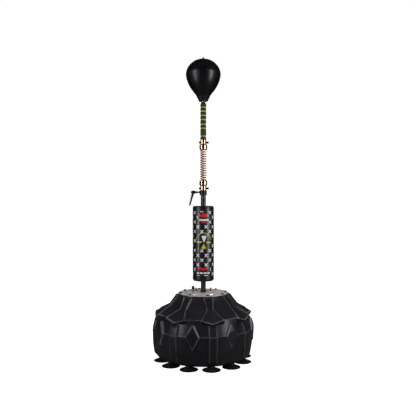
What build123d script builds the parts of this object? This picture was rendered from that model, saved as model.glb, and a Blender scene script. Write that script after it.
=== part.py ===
"""Free-standing reflex speed ball stand: weighted base, padded pole, bending coil spring and ball.

Frame: millimetres, +Z up, origin on the floor at the pole's axis, front towards -Y.
"""

from build123d import *
import os
from math import cos, hypot, radians, sin

os.makedirs("parts", exist_ok=True)

# ---------------------------------------------------------------- driving sizes
tank_radius = 239.0            # drum at its waist, without ribs
tank_height = 301.0            # underside to top face
tank_wall = 5.0
tank_end_wall = 11.0           # floor and top, thick enough for blind fixings
sector_count = 8               # ribs, diamonds and shoulder panels round the drum
first_rib_angle = 11.25
rib_width = 42.0
rib_rise = 8.0
panel_rise = 5.0               # raised shoulder panels above the valleys
diamond_width = 60.0
diamond_height = 112.0
seam_height = 138.0            # moulding ridge above the tank's underside

foot_inset = 15.0              # flat underside's edge inside the waist
foot_bevel_inset = 7.0
foot_bevel_height = 12.0
belly_height = 66.0            # where the drum reaches its full radius
waist_bulge = 2.0              # seam's radius over the waist's
lip_inset = 17.0               # shoulder's outer edge inside the waist
lip_height_share = 0.70        # heights of the shoulder's edges, as shares of the tank's height
knee_inset = 73.0
knee_height_share = 0.80
lip_fall = 16.0                # wall's slope under the shoulder's edge
lip_fall_inset = 13.0
top_margin = 4.0               # tank's top face beyond the mounting ring
cone_flare = 10.0              # cone's radius over the top face's, where its slope changes
cone_flare_drop = 18.0
fill_gap = 8.0                 # air over the ballast
diamond_bevel = 9.0            # how far a diamond's sides slope out at its root
diamond_root = 8.0             # root's depth inside the waist
fixing_floor = 2.0             # wall left under a blind fixing
fixing_end_gap = 1.0           # fixing's end to the bottom of its hole

cup_count = 12
cup_inset = 39.0               # cups' circle inside the drum's waist
cup_diameter = 86.0
cup_height = 21.0
cup_hollow = 3.0               # depth of the pressed-down suction hollow
cup_stud_diameter = 8.0
cup_sink = 1.0                 # drum's weight presses each cup this much
cup_neck_wall = 9.0
cup_rim_width = 6.0
cup_rim_thickness = 1.6
cup_hollow_margin = 14.0       # hollow's flat roof inside the rim
cup_shoulder_share = 0.62
cup_shoulder_height = 8.0
cup_neck_height = 3.0

gasket_thickness = 1.0
ring_radius = 122.0
ring_thickness = 3.0
ring_bolt_radius = 112.0
ring_bolt_diameter = 6.0
ring_slot_clearance = 2.0      # slot's width over the bolt's
ring_slot_stretch = 2.4        # slot's length over its width
bolt_head_ratio = 2.3          # head's diameter over the bolt's
bolt_head_height = 3.4
bolt_head_round = 1.6
gasket_margin = 2.0
plate_bevel = 0.8
flange_radius = 86.0
flange_thickness = 4.0
flange_stud_count = 4
flange_stud_radius = 53.0
flange_stud_diameter = 8.0
flange_stud_end = 5.0          # stud's end above its nut
washer_ratio = 2.0             # diameters over the stud's
washer_thickness = 1.6
nut_ratio = 1.86
nut_height = 6.5

spout_radius = 95.0            # filler spout's distance from the pole
spout_angle = 123.75
spout_bore = 7.0
spout_wall = 1.5
spout_height = 9.0            # above the mounting ring
cap_wall = 1.3
cap_top = 3.0
cap_skirt_gap = 2.0            # skirt's lower edge above the mounting ring
cap_rib_drop = 1.0
cap_tab_stretch = 1.6          # grip tab's length over the cap's radius
cap_round = 1.2
cap_rib_count = 8
cap_rib_radius = 0.8
cap_tab_thickness = 3.2
cap_tab_height = 6.0
seal_thickness = 1.5

inner_tube_diameter = 21.2
inner_tube_wall = 1.5
inner_tube_length = 290.0
tail_bush_length = 4.0
guide_wall = 0.62              # bush between the two tubes
guide_length = 45.0
outer_tube_wall = 1.2
outer_tube_length = 497.5
foot_collar_wall = 2.0
foot_collar_height = 7.0
foot_collar_bevel = 1.2

pad_thickness = 40.3
pad_bottom_gap = 52.5          # flange's top face to the pad's lower end
pad_top_gap = 51.5             # pad's upper end to the clamp
pad_corner = 12.0
pad_skin = 1.0

clamp_wall = 4.75
clamp_height = 23.5
clamp_round = 1.2
clamp_boss_rise = 5.0          # boss face over the clamp's round
clamp_boss_diameter = 15.0
clamp_boss_face_diameter = 9.0
clamp_screw_diameter = 6.0
clamp_screw_drop = 8.695       # screw's axis under the pole's upper end
screw_hole_gap = 0.5           # round the screw in the tube and its bush
lever_neck_gap = 4.75          # bare screw between the boss and the lever's neck
lever_neck_length = 14.0
lever_neck_diameters = [8.4, 12.0]   # at the screw, at the hub
lever_hub_diameter = 17.0
lever_hub_length = 18.0
lever_hub_rounds = [5.5, 3.0]  # outer and inner ends
lever_drop = 66.0
lever_lean = 17.0              # handle's lean away from the pole over its drop
lever_thick = 11.6
lever_thin = 7.8
lever_tip_share = 0.4          # tip's rounding, as a share of its thickness
hub_screw_wall = 1.0           # clamp screw's radius over the hub screw's
hub_screw_head_rise = 1.5
hub_screw_head_height = 2.0

socket_wall = 3.85             # coupling end that grips a tube
socket_length = 23.0
socket_seat = 1.0              # tube's end to the socket's floor
spring_gap = 0.3               # coil to the bell round it
bell_wall = 3.4
bell_length = 26.5
bell_corner = 5.0
bell_floor = 3.0
bell_lip_drop = 4.0
bell_lip_inset = 1.6
coupling_bore = 5.0
cross_bolt_diameter = 6.0
cross_bolt_rise = 9.89         # bolt's axis above its socket's lower end
cross_bolt_head_ratio = 1.6    # head's diameter over the bolt's
cross_bolt_head_length = 12.5
cross_bolt_end = 5.5           # bolt's length inside its nut
cross_nut_ratio = 1.9
cross_nut_length = 7.7
cross_nut_end_gap = 0.2
cross_fixing_round = 1.2

wire_diameter = 5.0
spring_diameter = 30.6
spring_pitch = 11.5
spring_free_length = 150.0     # between the two bells

rod_diameter = 12.0
rod_thread_diameter = 8.0
rod_thread_length = 14.0
sleeve_wall = 8.25
sleeve_dome_length = 14.0      # top segment's tapering end
sleeve_end_wall = 2.5
sleeve_lengths = [14.7, 33.0, 13.3, 17.0, 15.0, 14.5, 13.5, 23.0]   # upwards, with a ring between each two
grip_ring_wall = 6.75
grip_ring_height = 6.0
stud_gap = 4.0                 # bare rod between the sleeve and the ball

ball_radius = 86.0
ball_height = 207.0
ball_widest = 133.0            # widest place above the ball's foot
ball_neck_radius = 20.0
ball_skin = 3.0
collar_height = 26.0           # rubber band round the ball's neck
collar_thickness = 1.6
bladder_skin = 1.5
plate_thickness = 5.0
plate_gap = 1.0                # mounting plate to the bladder round it
valve_diameter = 8.0
valve_height = 10.0
valve_root = 4.0               # valve's length inside the bladder
valve_round = 1.5

touch = 0.05                   # radial clearance of a fitted pin or bolt
run = 0.08                     # radial clearance of a running fit
gap = 0.4                      # clearance of loose neighbours

# ---------------------------------------------------------------- heights that follow
tank_bottom = cup_height - cup_sink
tank_top = tank_bottom + tank_height
cavity_bottom = tank_bottom + tank_end_wall
cavity_top = tank_top - tank_end_wall
fill_level = cavity_top - fill_gap
ring_bottom = tank_top + gasket_thickness
ring_top = ring_bottom + ring_thickness
flange_top = ring_top + flange_thickness
tube_top = flange_top + outer_tube_length
clamp_bottom = tube_top - clamp_height
screw_level = tube_top - clamp_screw_drop
pad_bottom = flange_top + pad_bottom_gap
pad_top = clamp_bottom - pad_top_gap
socket_bottom = tube_top + gap
bell_bottom = socket_bottom + socket_length
bell_top = bell_bottom + bell_length
spring_bottom = bell_bottom + bell_floor
upper_bell_bottom = bell_top + spring_free_length
upper_bell_top = upper_bell_bottom + bell_length
spring_top = upper_bell_top - bell_floor
sleeve_bottom = upper_bell_top + socket_length
grip_ring_count = len(sleeve_lengths) - 1
sleeve_length = sum(sleeve_lengths) + grip_ring_count * grip_ring_height
sleeve_top = sleeve_bottom + sleeve_length
ball_bottom = sleeve_top + stud_gap
ball_top = ball_bottom + ball_height
sector_step = 360.0 / sector_count
fixing_depth = tank_end_wall - fixing_floor
fixing_reach = fixing_depth - fixing_end_gap

# ---------------------------------------------------------------- radii that follow
cup_pitch_radius = tank_radius - cup_inset
inner_tube_radius = inner_tube_diameter / 2
guide_bore = inner_tube_radius + run
outer_tube_bore = guide_bore + guide_wall
outer_tube_radius = outer_tube_bore + outer_tube_wall
pad_radius = outer_tube_radius + pad_thickness
clamp_radius = outer_tube_radius + clamp_wall
clamp_reach = clamp_radius + clamp_boss_rise
lever_neck_start = clamp_reach + lever_neck_gap
lever_hub_start = lever_neck_start + lever_neck_length
lever_hub_end = lever_hub_start + lever_hub_length
socket_bore = inner_tube_radius + touch
socket_radius = socket_bore + socket_wall
wire_radius = wire_diameter / 2
coil_radius = spring_diameter / 2
bell_bore = coil_radius + spring_gap
bell_radius = bell_bore + bell_wall
rod_radius = rod_diameter / 2
sleeve_radius = rod_radius + sleeve_wall
grip_ring_radius = rod_radius + grip_ring_wall


def at_angle(angle, radius=0.0, height=0.0):
    """Point at an angle round the pole's axis."""
    return Vector(radius * cos(radians(angle)), radius * sin(radians(angle)), height)


def outward_plane(angle, radius, height):
    """Upright plane whose normal points straight away from the pole's axis, with its y upwards."""
    outward = at_angle(angle, 1.0)
    return Plane(origin=at_angle(angle, radius, height), x_dir=at_angle(angle + 90, 1.0), z_dir=outward)


def finish(piece, label):
    """Label a piece and write its STEP."""
    piece.part.label = label
    export_step(piece.part, f"parts/{label}.step")


# ---------------------------------------------------------------- tank
foot_radius = tank_radius - foot_inset
lip_radius = tank_radius - lip_inset
knee_radius = tank_radius - knee_inset
top_radius = ring_radius + top_margin
flare_radius = top_radius + cone_flare
belly_level = tank_bottom + belly_height
waist_level = tank_bottom + seam_height
lip_level = tank_bottom + lip_height_share * tank_height
knee_level = tank_bottom + knee_height_share * tank_height

valley_outline = [
    (0, tank_bottom),
    (foot_radius, tank_bottom),
    (tank_radius - foot_bevel_inset, tank_bottom + foot_bevel_height),
    (tank_radius, belly_level),
    (tank_radius + waist_bulge, waist_level),
    (tank_radius - lip_fall_inset, lip_level - lip_fall),
    (lip_radius, lip_level),
    (knee_radius, knee_level),
    (flare_radius, tank_top - cone_flare_drop),
    (top_radius, tank_top),
    (0, tank_top),
]

rib_foot = tank_bottom + 14.0
rib_foot_top = rib_foot + 16.0
rib_belly = rib_foot + 66.0
rib_shoulder = lip_level - 20.0
rib_end = lip_level - 6.0
rib_outline = [
    (knee_radius, rib_foot),
    (tank_radius - 5.0, rib_foot),
    (tank_radius + 0.6 * rib_rise, rib_foot_top),
    (tank_radius + rib_rise + 1.0, rib_belly),
    (tank_radius + rib_rise + 3.0, waist_level),
    (tank_radius + 1.0, rib_shoulder),
    (tank_radius - 9.0, rib_end),
    (knee_radius, rib_end),
]
rib_root = tank_radius - 4.0
rib_front = tank_radius + rib_rise + 6.0
rib_half = rib_width / 2
rib_front_half = rib_half - 5.0
rib_plan = [
    (knee_radius, rib_half),
    (rib_root, rib_half),
    (rib_front, rib_front_half),
    (rib_front, -rib_front_half),
    (rib_root, -rib_half),
    (knee_radius, -rib_half),
]

panel_depth = 20.0             # how far a shoulder panel's body reaches into the drum
panel_lip_fall = 14.0
panel_lip_rise = 6.0
panel_outline = [
    (top_radius - panel_depth, tank_top - 2 * panel_depth),
    (top_radius + 1.0, tank_top - 3.0),
    (flare_radius + 4.0, tank_top - cone_flare_drop + 3.0),
    (knee_radius + panel_rise, knee_level + panel_rise),
    (lip_radius + 2.0, lip_level + panel_lip_rise),
    (lip_radius + panel_lip_rise, lip_level - panel_lip_fall),
    (lip_radius - panel_depth, lip_level - panel_depth),
    (knee_radius - panel_depth, knee_level - panel_depth),
]
flare_half = 53.0              # half width of a shoulder panel at the drum's edge
strap_half = 23.0              # half width of a shoulder panel on the cone
panel_end = lip_radius + 8.0
panel_plan = [
    (top_radius - 2 * panel_depth, strap_half),
    (knee_radius, strap_half),
    (panel_end, flare_half),
    (panel_end, -flare_half),
    (knee_radius, -strap_half),
    (top_radius - 2 * panel_depth, -strap_half),
]


def ring_segments(outline, plan, low, high):
    """Pieces of a turned shape that lie inside a plan repeated round the pole's axis."""
    with BuildPart() as segments:
        with BuildSketch(Plane.XZ):
            with BuildLine():
                Polyline(*outline, close=True)
            make_face()
        revolve(axis=Axis.Z)
        with BuildSketch(Plane.XY.offset(low)):
            with PolarLocations(0, sector_count, first_rib_angle):
                Polygon(*plan, align=None)
        extrude(amount=high - low, mode=Mode.INTERSECT)
    return segments.part


ribs = ring_segments(rib_outline, rib_plan, 0.0, tank_top)
panels = ring_segments(panel_outline, panel_plan, 0.0, tank_top)

with BuildPart() as tank:
    with BuildSketch(Plane.XZ):
        with BuildLine():
            Polyline(*valley_outline, close=True)
        make_face()
    revolve(axis=Axis.Z)
    add(ribs)
    add(panels)
    for sector in range(sector_count):
        face_angle = first_rib_angle + (sector + 0.5) * sector_step
        for distance, spread in ((tank_radius - diamond_root, diamond_bevel), (tank_radius + rib_rise, 0.0)):
            with BuildSketch(outward_plane(face_angle, distance, waist_level)):
                half_width = diamond_width / 2 + spread
                half_height = half_width * diamond_height / diamond_width
                with BuildLine():
                    corners = [(half_width, 0), (0, half_height), (-half_width, 0), (0, -half_height)]
                    Polyline(*corners, close=True)
                make_face()
        loft()
    # Cavity
    with BuildSketch(Plane.XZ):
        with BuildLine():
            Polyline(
                (0, cavity_bottom),
                (foot_radius - tank_wall, cavity_bottom),
                (tank_radius - tank_wall, belly_level),
                (tank_radius - tank_wall, waist_level),
                (lip_radius - 2 * tank_wall, lip_level - tank_wall),
                (knee_radius - tank_wall, knee_level - tank_wall),
                (flare_radius - 2 * tank_wall, fill_level),
                (top_radius - 2 * tank_wall, cavity_top),
                (0, cavity_top),
                close=True,
            )
        make_face()
    revolve(axis=Axis.Z, mode=Mode.SUBTRACT)
    with BuildSketch(Plane.XY.offset(tank_bottom)):
        with PolarLocations(cup_pitch_radius, cup_count, first_rib_angle):
            Circle(cup_stud_diameter / 2 + touch)
    extrude(amount=fixing_depth, mode=Mode.SUBTRACT)
    with BuildSketch(Plane.XY.offset(tank_top)):
        with PolarLocations(ring_bolt_radius, sector_count, first_rib_angle):
            Circle(ring_bolt_diameter / 2 + touch)
        with PolarLocations(flange_stud_radius, flange_stud_count, 45):
            Circle(flange_stud_diameter / 2 + touch)
    extrude(amount=-fixing_depth, mode=Mode.SUBTRACT)
    with BuildSketch(Plane.XY.offset(tank_top)):
        with PolarLocations(spout_radius, 1, spout_angle):
            Circle(spout_bore / 2)
    extrude(amount=-tank_end_wall, mode=Mode.SUBTRACT)
finish(tank, "tank")

with BuildPart() as ballast_fill:
    with BuildSketch(Plane.XZ):
        with BuildLine():
            Polyline(
                (0, cavity_bottom),
                (foot_radius - tank_wall - 2 * gap, cavity_bottom),
                (tank_radius - tank_wall - gap, belly_level),
                (tank_radius - tank_wall - gap, waist_level),
                (lip_radius - 2 * tank_wall - gap, lip_level - tank_wall - gap),
                (knee_radius - tank_wall - gap, knee_level - tank_wall - gap),
                (flare_radius - 2 * tank_wall - gap, fill_level - gap),
                (0, fill_level - gap),
                close=True,
            )
        make_face()
    revolve(axis=Axis.Z)
finish(ballast_fill, "ballast_fill")

# ---------------------------------------------------------------- suction cups
cup_radius = cup_diameter / 2
cup_neck = cup_stud_diameter / 2 + cup_neck_wall
for index in range(cup_count):
    cup_angle = first_rib_angle + index * 360.0 / cup_count
    centre = at_angle(cup_angle, cup_pitch_radius)
    with BuildPart() as suction_cup:
        outward = at_angle(cup_angle, 1.0)
        with BuildSketch(Plane(origin=centre, x_dir=outward, z_dir=at_angle(cup_angle - 90, 1.0))):
            with BuildLine():
                foot = Line((cup_stud_diameter / 2, cup_hollow), (cup_radius - cup_hollow_margin, cup_hollow))
                rim = Polyline(
                    foot @ 1,
                    (cup_radius - cup_rim_width, 0),
                    (cup_radius, 0),
                    (cup_radius, cup_rim_thickness),
                )
                dome = Spline(
                    rim @ 1,
                    (cup_shoulder_share * cup_radius, cup_shoulder_height),
                    (cup_neck, cup_height - cup_neck_height),
                    tangents=[(-1, 0.2), (0, 1)],
                )
                Polyline(dome @ 1, (cup_neck, tank_bottom), (cup_stud_diameter / 2, tank_bottom), foot @ 0)
            make_face()
        revolve(axis=Axis(centre, (0, 0, 1)))
    finish(suction_cup, f"suction_cup_{index + 1:02d}")

with BuildPart() as cup_studs:
    with BuildSketch(Plane.XY.offset(cup_hollow)):
        with PolarLocations(cup_pitch_radius, cup_count, first_rib_angle):
            Circle(cup_stud_diameter / 2)
    extrude(amount=tank_bottom + fixing_reach - cup_hollow)
finish(cup_studs, "cup_studs")

# ---------------------------------------------------------------- top plates
slot_width = ring_bolt_diameter + ring_slot_clearance
slot_length = ring_slot_stretch * slot_width


def plate_cuts(bolt_slots):
    """Sketch the openings shared by the gasket and the mounting ring."""
    if bolt_slots:
        with PolarLocations(ring_bolt_radius, sector_count, first_rib_angle):
            SlotOverall(slot_length, slot_width, rotation=90)
    else:
        with PolarLocations(ring_bolt_radius, sector_count, first_rib_angle):
            Circle(slot_width / 2)
    with PolarLocations(flange_stud_radius, flange_stud_count, 45):
        Circle(flange_stud_diameter / 2 + gap)
    with PolarLocations(spout_radius, 1, spout_angle):
        Circle(spout_bore / 2 + spout_wall + gap)


with BuildPart() as top_gasket:
    with BuildSketch(Plane.XY.offset(tank_top)):
        Circle(ring_radius - gasket_margin)
    extrude(amount=gasket_thickness)
    with BuildSketch(Plane.XY.offset(tank_top)):
        plate_cuts(False)
    extrude(amount=gasket_thickness, mode=Mode.SUBTRACT)
finish(top_gasket, "top_gasket")

with BuildPart() as mount_ring:
    with BuildSketch(Plane.XY.offset(ring_bottom)):
        Circle(ring_radius)
    extrude(amount=ring_thickness)
    chamfer(mount_ring.edges().group_by(Axis.Z)[-1], plate_bevel)
    with BuildSketch(Plane.XY.offset(ring_bottom)):
        plate_cuts(True)
    extrude(amount=ring_thickness, mode=Mode.SUBTRACT)
finish(mount_ring, "mount_ring")

bolt_head_radius = bolt_head_ratio * ring_bolt_diameter / 2
with BuildPart() as ring_bolts:
    with BuildSketch(Plane.XY.offset(tank_top - fixing_reach)):
        with PolarLocations(ring_bolt_radius, sector_count, first_rib_angle):
            Circle(ring_bolt_diameter / 2)
    extrude(amount=fixing_reach + gasket_thickness + ring_thickness)
    with BuildSketch(Plane.XY.offset(ring_top)):
        with PolarLocations(ring_bolt_radius, sector_count, first_rib_angle):
            Circle(bolt_head_radius)
    extrude(amount=bolt_head_height)
    fillet(ring_bolts.edges().group_by(Axis.Z)[-1], bolt_head_round)
finish(ring_bolts, "ring_bolts")

spout_centre = at_angle(spout_angle, spout_radius)
spout_top = ring_top + spout_height
spout_outer = spout_bore / 2 + spout_wall
cap_inner = spout_outer + gap
cap_outer = cap_inner + cap_wall
cap_bottom = ring_top + cap_skirt_gap
cap_under = spout_top + seal_thickness

with BuildPart() as pole_flange:
    with BuildSketch(Plane.XY.offset(ring_top)):
        Circle(flange_radius)
    extrude(amount=flange_thickness)
    chamfer(pole_flange.edges().group_by(Axis.Z)[-1], plate_bevel)
    with BuildSketch(Plane.XY.offset(ring_top)):
        with PolarLocations(flange_stud_radius, flange_stud_count, 45):
            Circle(flange_stud_diameter / 2 + gap)
        with PolarLocations(spout_radius, 1, spout_angle):
            Circle(cap_outer + cap_rib_radius + 2 * gap)
    extrude(amount=flange_thickness, mode=Mode.SUBTRACT)
finish(pole_flange, "pole_flange")

stud_top = flange_top + washer_thickness + nut_height + flange_stud_end
with BuildPart() as flange_studs:
    with BuildSketch(Plane.XY.offset(tank_top - fixing_reach)):
        with PolarLocations(flange_stud_radius, flange_stud_count, 45):
            Circle(flange_stud_diameter / 2)
    extrude(amount=stud_top - tank_top + fixing_reach)
    chamfer(flange_studs.edges().group_by(Axis.Z)[-1], plate_bevel)
finish(flange_studs, "flange_studs")

with BuildPart() as flange_washers:
    with BuildSketch(Plane.XY.offset(flange_top)):
        with PolarLocations(flange_stud_radius, flange_stud_count, 45):
            Circle(washer_ratio * flange_stud_diameter / 2)
            Circle(flange_stud_diameter / 2 + touch, mode=Mode.SUBTRACT)
    extrude(amount=washer_thickness)
finish(flange_washers, "flange_washers")

with BuildPart() as flange_nuts:
    with BuildSketch(Plane.XY.offset(flange_top + washer_thickness)):
        with PolarLocations(flange_stud_radius, flange_stud_count, 45):
            RegularPolygon(nut_ratio * flange_stud_diameter / 2, 6)
            Circle(flange_stud_diameter / 2 + touch, mode=Mode.SUBTRACT)
    extrude(amount=nut_height)
finish(flange_nuts, "flange_nuts")

# ---------------------------------------------------------------- filler spout and cap
with BuildPart() as fill_spout:
    with BuildSketch(Plane.XY.offset(tank_top)):
        with Locations(spout_centre):
            Circle(spout_outer)
            Circle(spout_bore / 2, mode=Mode.SUBTRACT)
    extrude(amount=spout_top - tank_top)
finish(fill_spout, "fill_spout")

with BuildPart() as fill_cap:
    with BuildSketch(Plane.XY.offset(cap_bottom)):
        with Locations(spout_centre):
            Circle(cap_outer)
    extrude(amount=cap_under + cap_top - cap_bottom)
    with BuildSketch(Plane.XY.offset(cap_bottom)):
        with Locations(spout_centre):
            Circle(cap_inner)
    extrude(amount=cap_under - cap_bottom, mode=Mode.SUBTRACT)
    with BuildSketch(Plane.XY.offset(cap_bottom)):
        with Locations(spout_centre):
            with PolarLocations(cap_outer, cap_rib_count):
                Circle(cap_rib_radius)
    extrude(amount=cap_under + cap_top - cap_bottom - cap_rib_drop)
    with BuildSketch(Plane.XY.offset(cap_under + cap_top)):
        with Locations(spout_centre):
            Rectangle(cap_tab_stretch * cap_outer, cap_tab_thickness)
    extrude(amount=cap_tab_height)
    fillet(fill_cap.edges().group_by(Axis.Z)[-1], cap_round)
finish(fill_cap, "fill_cap")

with BuildPart() as cap_seal:
    with BuildSketch(Plane.XY.offset(spout_top)):
        with Locations(spout_centre):
            Circle(cap_inner - gap / 2)
    extrude(amount=seal_thickness)
finish(cap_seal, "cap_seal")

# ---------------------------------------------------------------- pole
screw_hole = clamp_screw_diameter + 2 * screw_hole_gap


def tube(bottom, top, outer, inner):
    """Plain round tube on the pole's axis, added to the open part."""
    with BuildSketch(Plane.XY.offset(bottom)) as section:
        Circle(outer)
        Circle(inner, mode=Mode.SUBTRACT)
    extrude(section.sketch, amount=top - bottom)


def side_hole(diameter):
    """Hole through the wall that faces the clamp lever, on the clamp screw's axis."""
    with BuildSketch(Plane(origin=(0, 0, screw_level), x_dir=(0, 1, 0), z_dir=(-1, 0, 0))) as hole:
        Circle(diameter / 2)
    extrude(hole.sketch, amount=clamp_reach, mode=Mode.SUBTRACT)


with BuildPart() as outer_tube:
    tube(flange_top, tube_top, outer_tube_radius, outer_tube_bore)
    side_hole(screw_hole)
finish(outer_tube, "outer_tube")

with BuildPart() as foot_collar:
    tube(flange_top, flange_top + foot_collar_height, outer_tube_radius + foot_collar_wall, outer_tube_radius)
    chamfer(foot_collar.edges().group_by(Axis.Z)[-1].sort_by(SortBy.RADIUS)[-1], foot_collar_bevel)
finish(foot_collar, "foot_collar")

with BuildPart() as guide_bush:
    tube(tube_top - guide_length, tube_top, outer_tube_bore, guide_bore)
    side_hole(screw_hole)
finish(guide_bush, "guide_bush")

inner_tube_top = socket_bottom + socket_length - socket_seat
inner_tube_bottom = inner_tube_top - inner_tube_length
lower_bolt_level = socket_bottom + cross_bolt_rise
upper_bolt_level = upper_bell_top + cross_bolt_rise
bolt_hole = cross_bolt_diameter + 2 * touch


def cross_hole(level, diameter):
    """Hole across the axis for a cross bolt, cut from the open part."""
    with BuildSketch(Plane.YZ) as hole:
        with Locations((0, level)):
            Circle(diameter / 2)
    extrude(hole.sketch, amount=2 * socket_radius, both=True, mode=Mode.SUBTRACT)


with BuildPart() as inner_tube:
    tube(inner_tube_bottom, inner_tube_top, inner_tube_radius, inner_tube_radius - inner_tube_wall)
    cross_hole(lower_bolt_level, bolt_hole)
finish(inner_tube, "inner_tube")

with BuildPart() as tail_bush:
    tube(
        inner_tube_bottom - tail_bush_length,
        inner_tube_bottom,
        outer_tube_bore - run,
        inner_tube_radius - inner_tube_wall,
    )
finish(tail_bush, "tail_bush")

# ---------------------------------------------------------------- pad round the pole
with BuildPart() as pad_foam:
    tube(pad_bottom + pad_skin, pad_top - pad_skin, pad_radius - pad_skin, outer_tube_radius)
    fillet(pad_foam.edges().filter_by(GeomType.CIRCLE).group_by(SortBy.RADIUS)[-1], pad_corner - pad_skin)
finish(pad_foam, "pad_foam")

with BuildPart() as pad_cover:
    tube(pad_bottom, pad_top, pad_radius, outer_tube_radius)
    fillet(pad_cover.edges().filter_by(GeomType.CIRCLE).group_by(SortBy.RADIUS)[-1], pad_corner)
    add(pad_foam.part, mode=Mode.SUBTRACT)
finish(pad_cover, "pad_cover")

# ---------------------------------------------------------------- clamp and its lever
pad_face = inner_tube_radius + touch
pad_back = outer_tube_radius + gap
screw_plane = Plane(origin=(0, 0, screw_level), x_dir=(0, 1, 0), z_dir=(-1, 0, 0))
screw_axis = Axis((0, 0, screw_level), (-1, 0, 0))


def turned_on_screw(stations):
    """Solid turned about the clamp screw's axis, added to the open part, from (distance, radius) stations."""
    outline = [(-stations[0][0], screw_level)]
    for distance, radius in stations:
        outline.append((-distance, screw_level + radius))
    outline.append((-stations[-1][0], screw_level))
    with BuildSketch(Plane.XZ) as section:
        with BuildLine():
            Polyline(*outline, close=True)
        make_face()
    revolve(section.sketch, axis=screw_axis)


with BuildPart() as clamp_collar:
    tube(clamp_bottom, tube_top, clamp_radius, outer_tube_radius)
    fillet(clamp_collar.edges().filter_by(GeomType.CIRCLE).group_by(SortBy.RADIUS)[-1], clamp_round)
    boss_root = (outer_tube_radius + clamp_radius) / 2
    boss_radius = clamp_boss_diameter / 2
    boss_face = (clamp_reach, clamp_boss_face_diameter / 2)
    turned_on_screw([(boss_root, boss_radius), (clamp_radius, boss_radius), boss_face])
    side_hole(clamp_screw_diameter + 2 * touch)
finish(clamp_collar, "clamp_collar")

with BuildPart() as pressure_pad:
    with BuildSketch(screw_plane.offset(pad_face)):
        Circle(clamp_screw_diameter / 2 - run)
    extrude(amount=pad_back - pad_face)
finish(pressure_pad, "pressure_pad")

hub_radius = lever_hub_diameter / 2
hub_middle = (lever_hub_start + lever_hub_end) / 2
hub_screw_radius = clamp_screw_diameter / 2 - hub_screw_wall - touch
with BuildPart() as clamp_screw:
    with BuildSketch(screw_plane.offset(pad_back + touch)):
        Circle(clamp_screw_diameter / 2)
    extrude(amount=hub_middle - pad_back - touch)
finish(clamp_screw, "clamp_screw")

with BuildPart() as lever_handle:
    with BuildSketch(screw_plane.offset(lever_hub_start)):
        Circle(hub_radius)
    extrude(amount=lever_hub_end - lever_hub_start)
    fillet(lever_handle.edges().group_by(Axis.X)[0], lever_hub_rounds[0])
    fillet(lever_handle.edges().group_by(Axis.X)[-1], lever_hub_rounds[1])
    neck_radii = [diameter / 2 for diameter in lever_neck_diameters]
    neck_root = (lever_hub_start + lever_hub_rounds[1], neck_radii[1])
    turned_on_screw([(lever_neck_start, neck_radii[0]), (lever_hub_start, neck_radii[1]), neck_root])
    handle_run = hypot(lever_lean, lever_drop)
    handle_root = Vector(-hub_middle, 0, screw_level)
    handle_way = Vector(-lever_lean, 0, -lever_drop)
    with BuildSketch(Plane(origin=handle_root, x_dir=(0, 1, 0), z_dir=(-lever_drop, 0, lever_lean))):
        with BuildLine():
            FilletPolyline(
                (0, 0),
                (lever_thick / 2, 0),
                (lever_thin / 2, handle_run),
                (0, handle_run),
                radius=[0, lever_tip_share * lever_thin],
            )
            Line((0, handle_run), (0, 0))
        make_face()
    revolve(axis=Axis(handle_root, handle_way))
    with BuildSketch(screw_plane.offset(lever_neck_start)):
        Circle(clamp_screw_diameter / 2)
    extrude(amount=hub_middle - lever_neck_start, mode=Mode.SUBTRACT)
    with BuildSketch(screw_plane.offset(hub_middle)):
        Circle(hub_screw_radius + touch)
    extrude(amount=lever_hub_end - hub_middle, mode=Mode.SUBTRACT)
finish(lever_handle, "lever_handle")

with BuildPart() as hub_screw:
    with BuildSketch(screw_plane.offset(hub_middle)):
        Circle(hub_screw_radius)
    extrude(amount=lever_hub_end - hub_middle)
    with BuildSketch(screw_plane.offset(lever_hub_end)):
        Circle(clamp_screw_diameter / 2 + hub_screw_head_rise)
    extrude(amount=hub_screw_head_height)
finish(hub_screw, "hub_screw")

# ---------------------------------------------------------------- couplings and spring
def bell_profile(foot, direction):
    """Half section of a socket and spring bell, from the socket's open end towards the spring."""
    level = [foot + direction * step for step in (0, socket_length, socket_length + bell_length)]
    floor_level = level[1] + direction * bell_floor
    seat_level = level[1] - direction * socket_seat
    Polyline(
        (socket_bore, level[0]),
        (socket_radius, level[0]),
        (socket_radius, level[1]),
        (bell_radius, level[1] + direction * bell_corner),
        (bell_radius, level[2] - direction * bell_lip_drop),
        (bell_radius - bell_lip_inset, level[2]),
        (bell_bore, level[2]),
        (bell_bore, floor_level),
        (coupling_bore, floor_level),
        (coupling_bore, seat_level),
        (socket_bore, seat_level),
        close=True,
    )


with BuildPart() as lower_coupling:
    with BuildSketch(Plane.XZ):
        with BuildLine():
            bell_profile(socket_bottom, 1)
        make_face()
    revolve(axis=Axis.Z)
    cross_hole(lower_bolt_level, bolt_hole)
finish(lower_coupling, "lower_coupling")

with BuildPart() as upper_coupling:
    with BuildSketch(Plane.XZ):
        with BuildLine():
            bell_profile(sleeve_bottom, -1)
        make_face()
    revolve(axis=Axis.Z)
    cross_hole(upper_bolt_level, bolt_hole)
finish(upper_coupling, "upper_coupling")


def cross_bolt(level, label):
    """Cross bolt with its head towards +X."""
    with BuildPart() as bolt:
        with BuildSketch(Plane.YZ.offset(-socket_radius - cross_bolt_end)):
            with Locations((0, level)):
                Circle(cross_bolt_diameter / 2)
        extrude(amount=2 * socket_radius + cross_bolt_end)
        with BuildSketch(Plane.YZ.offset(socket_radius)):
            with Locations((0, level)):
                Circle(cross_bolt_head_ratio * cross_bolt_diameter / 2)
        extrude(amount=cross_bolt_head_length)
        fillet(bolt.edges().group_by(Axis.X)[-1], cross_fixing_round)
    finish(bolt, label)


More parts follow.
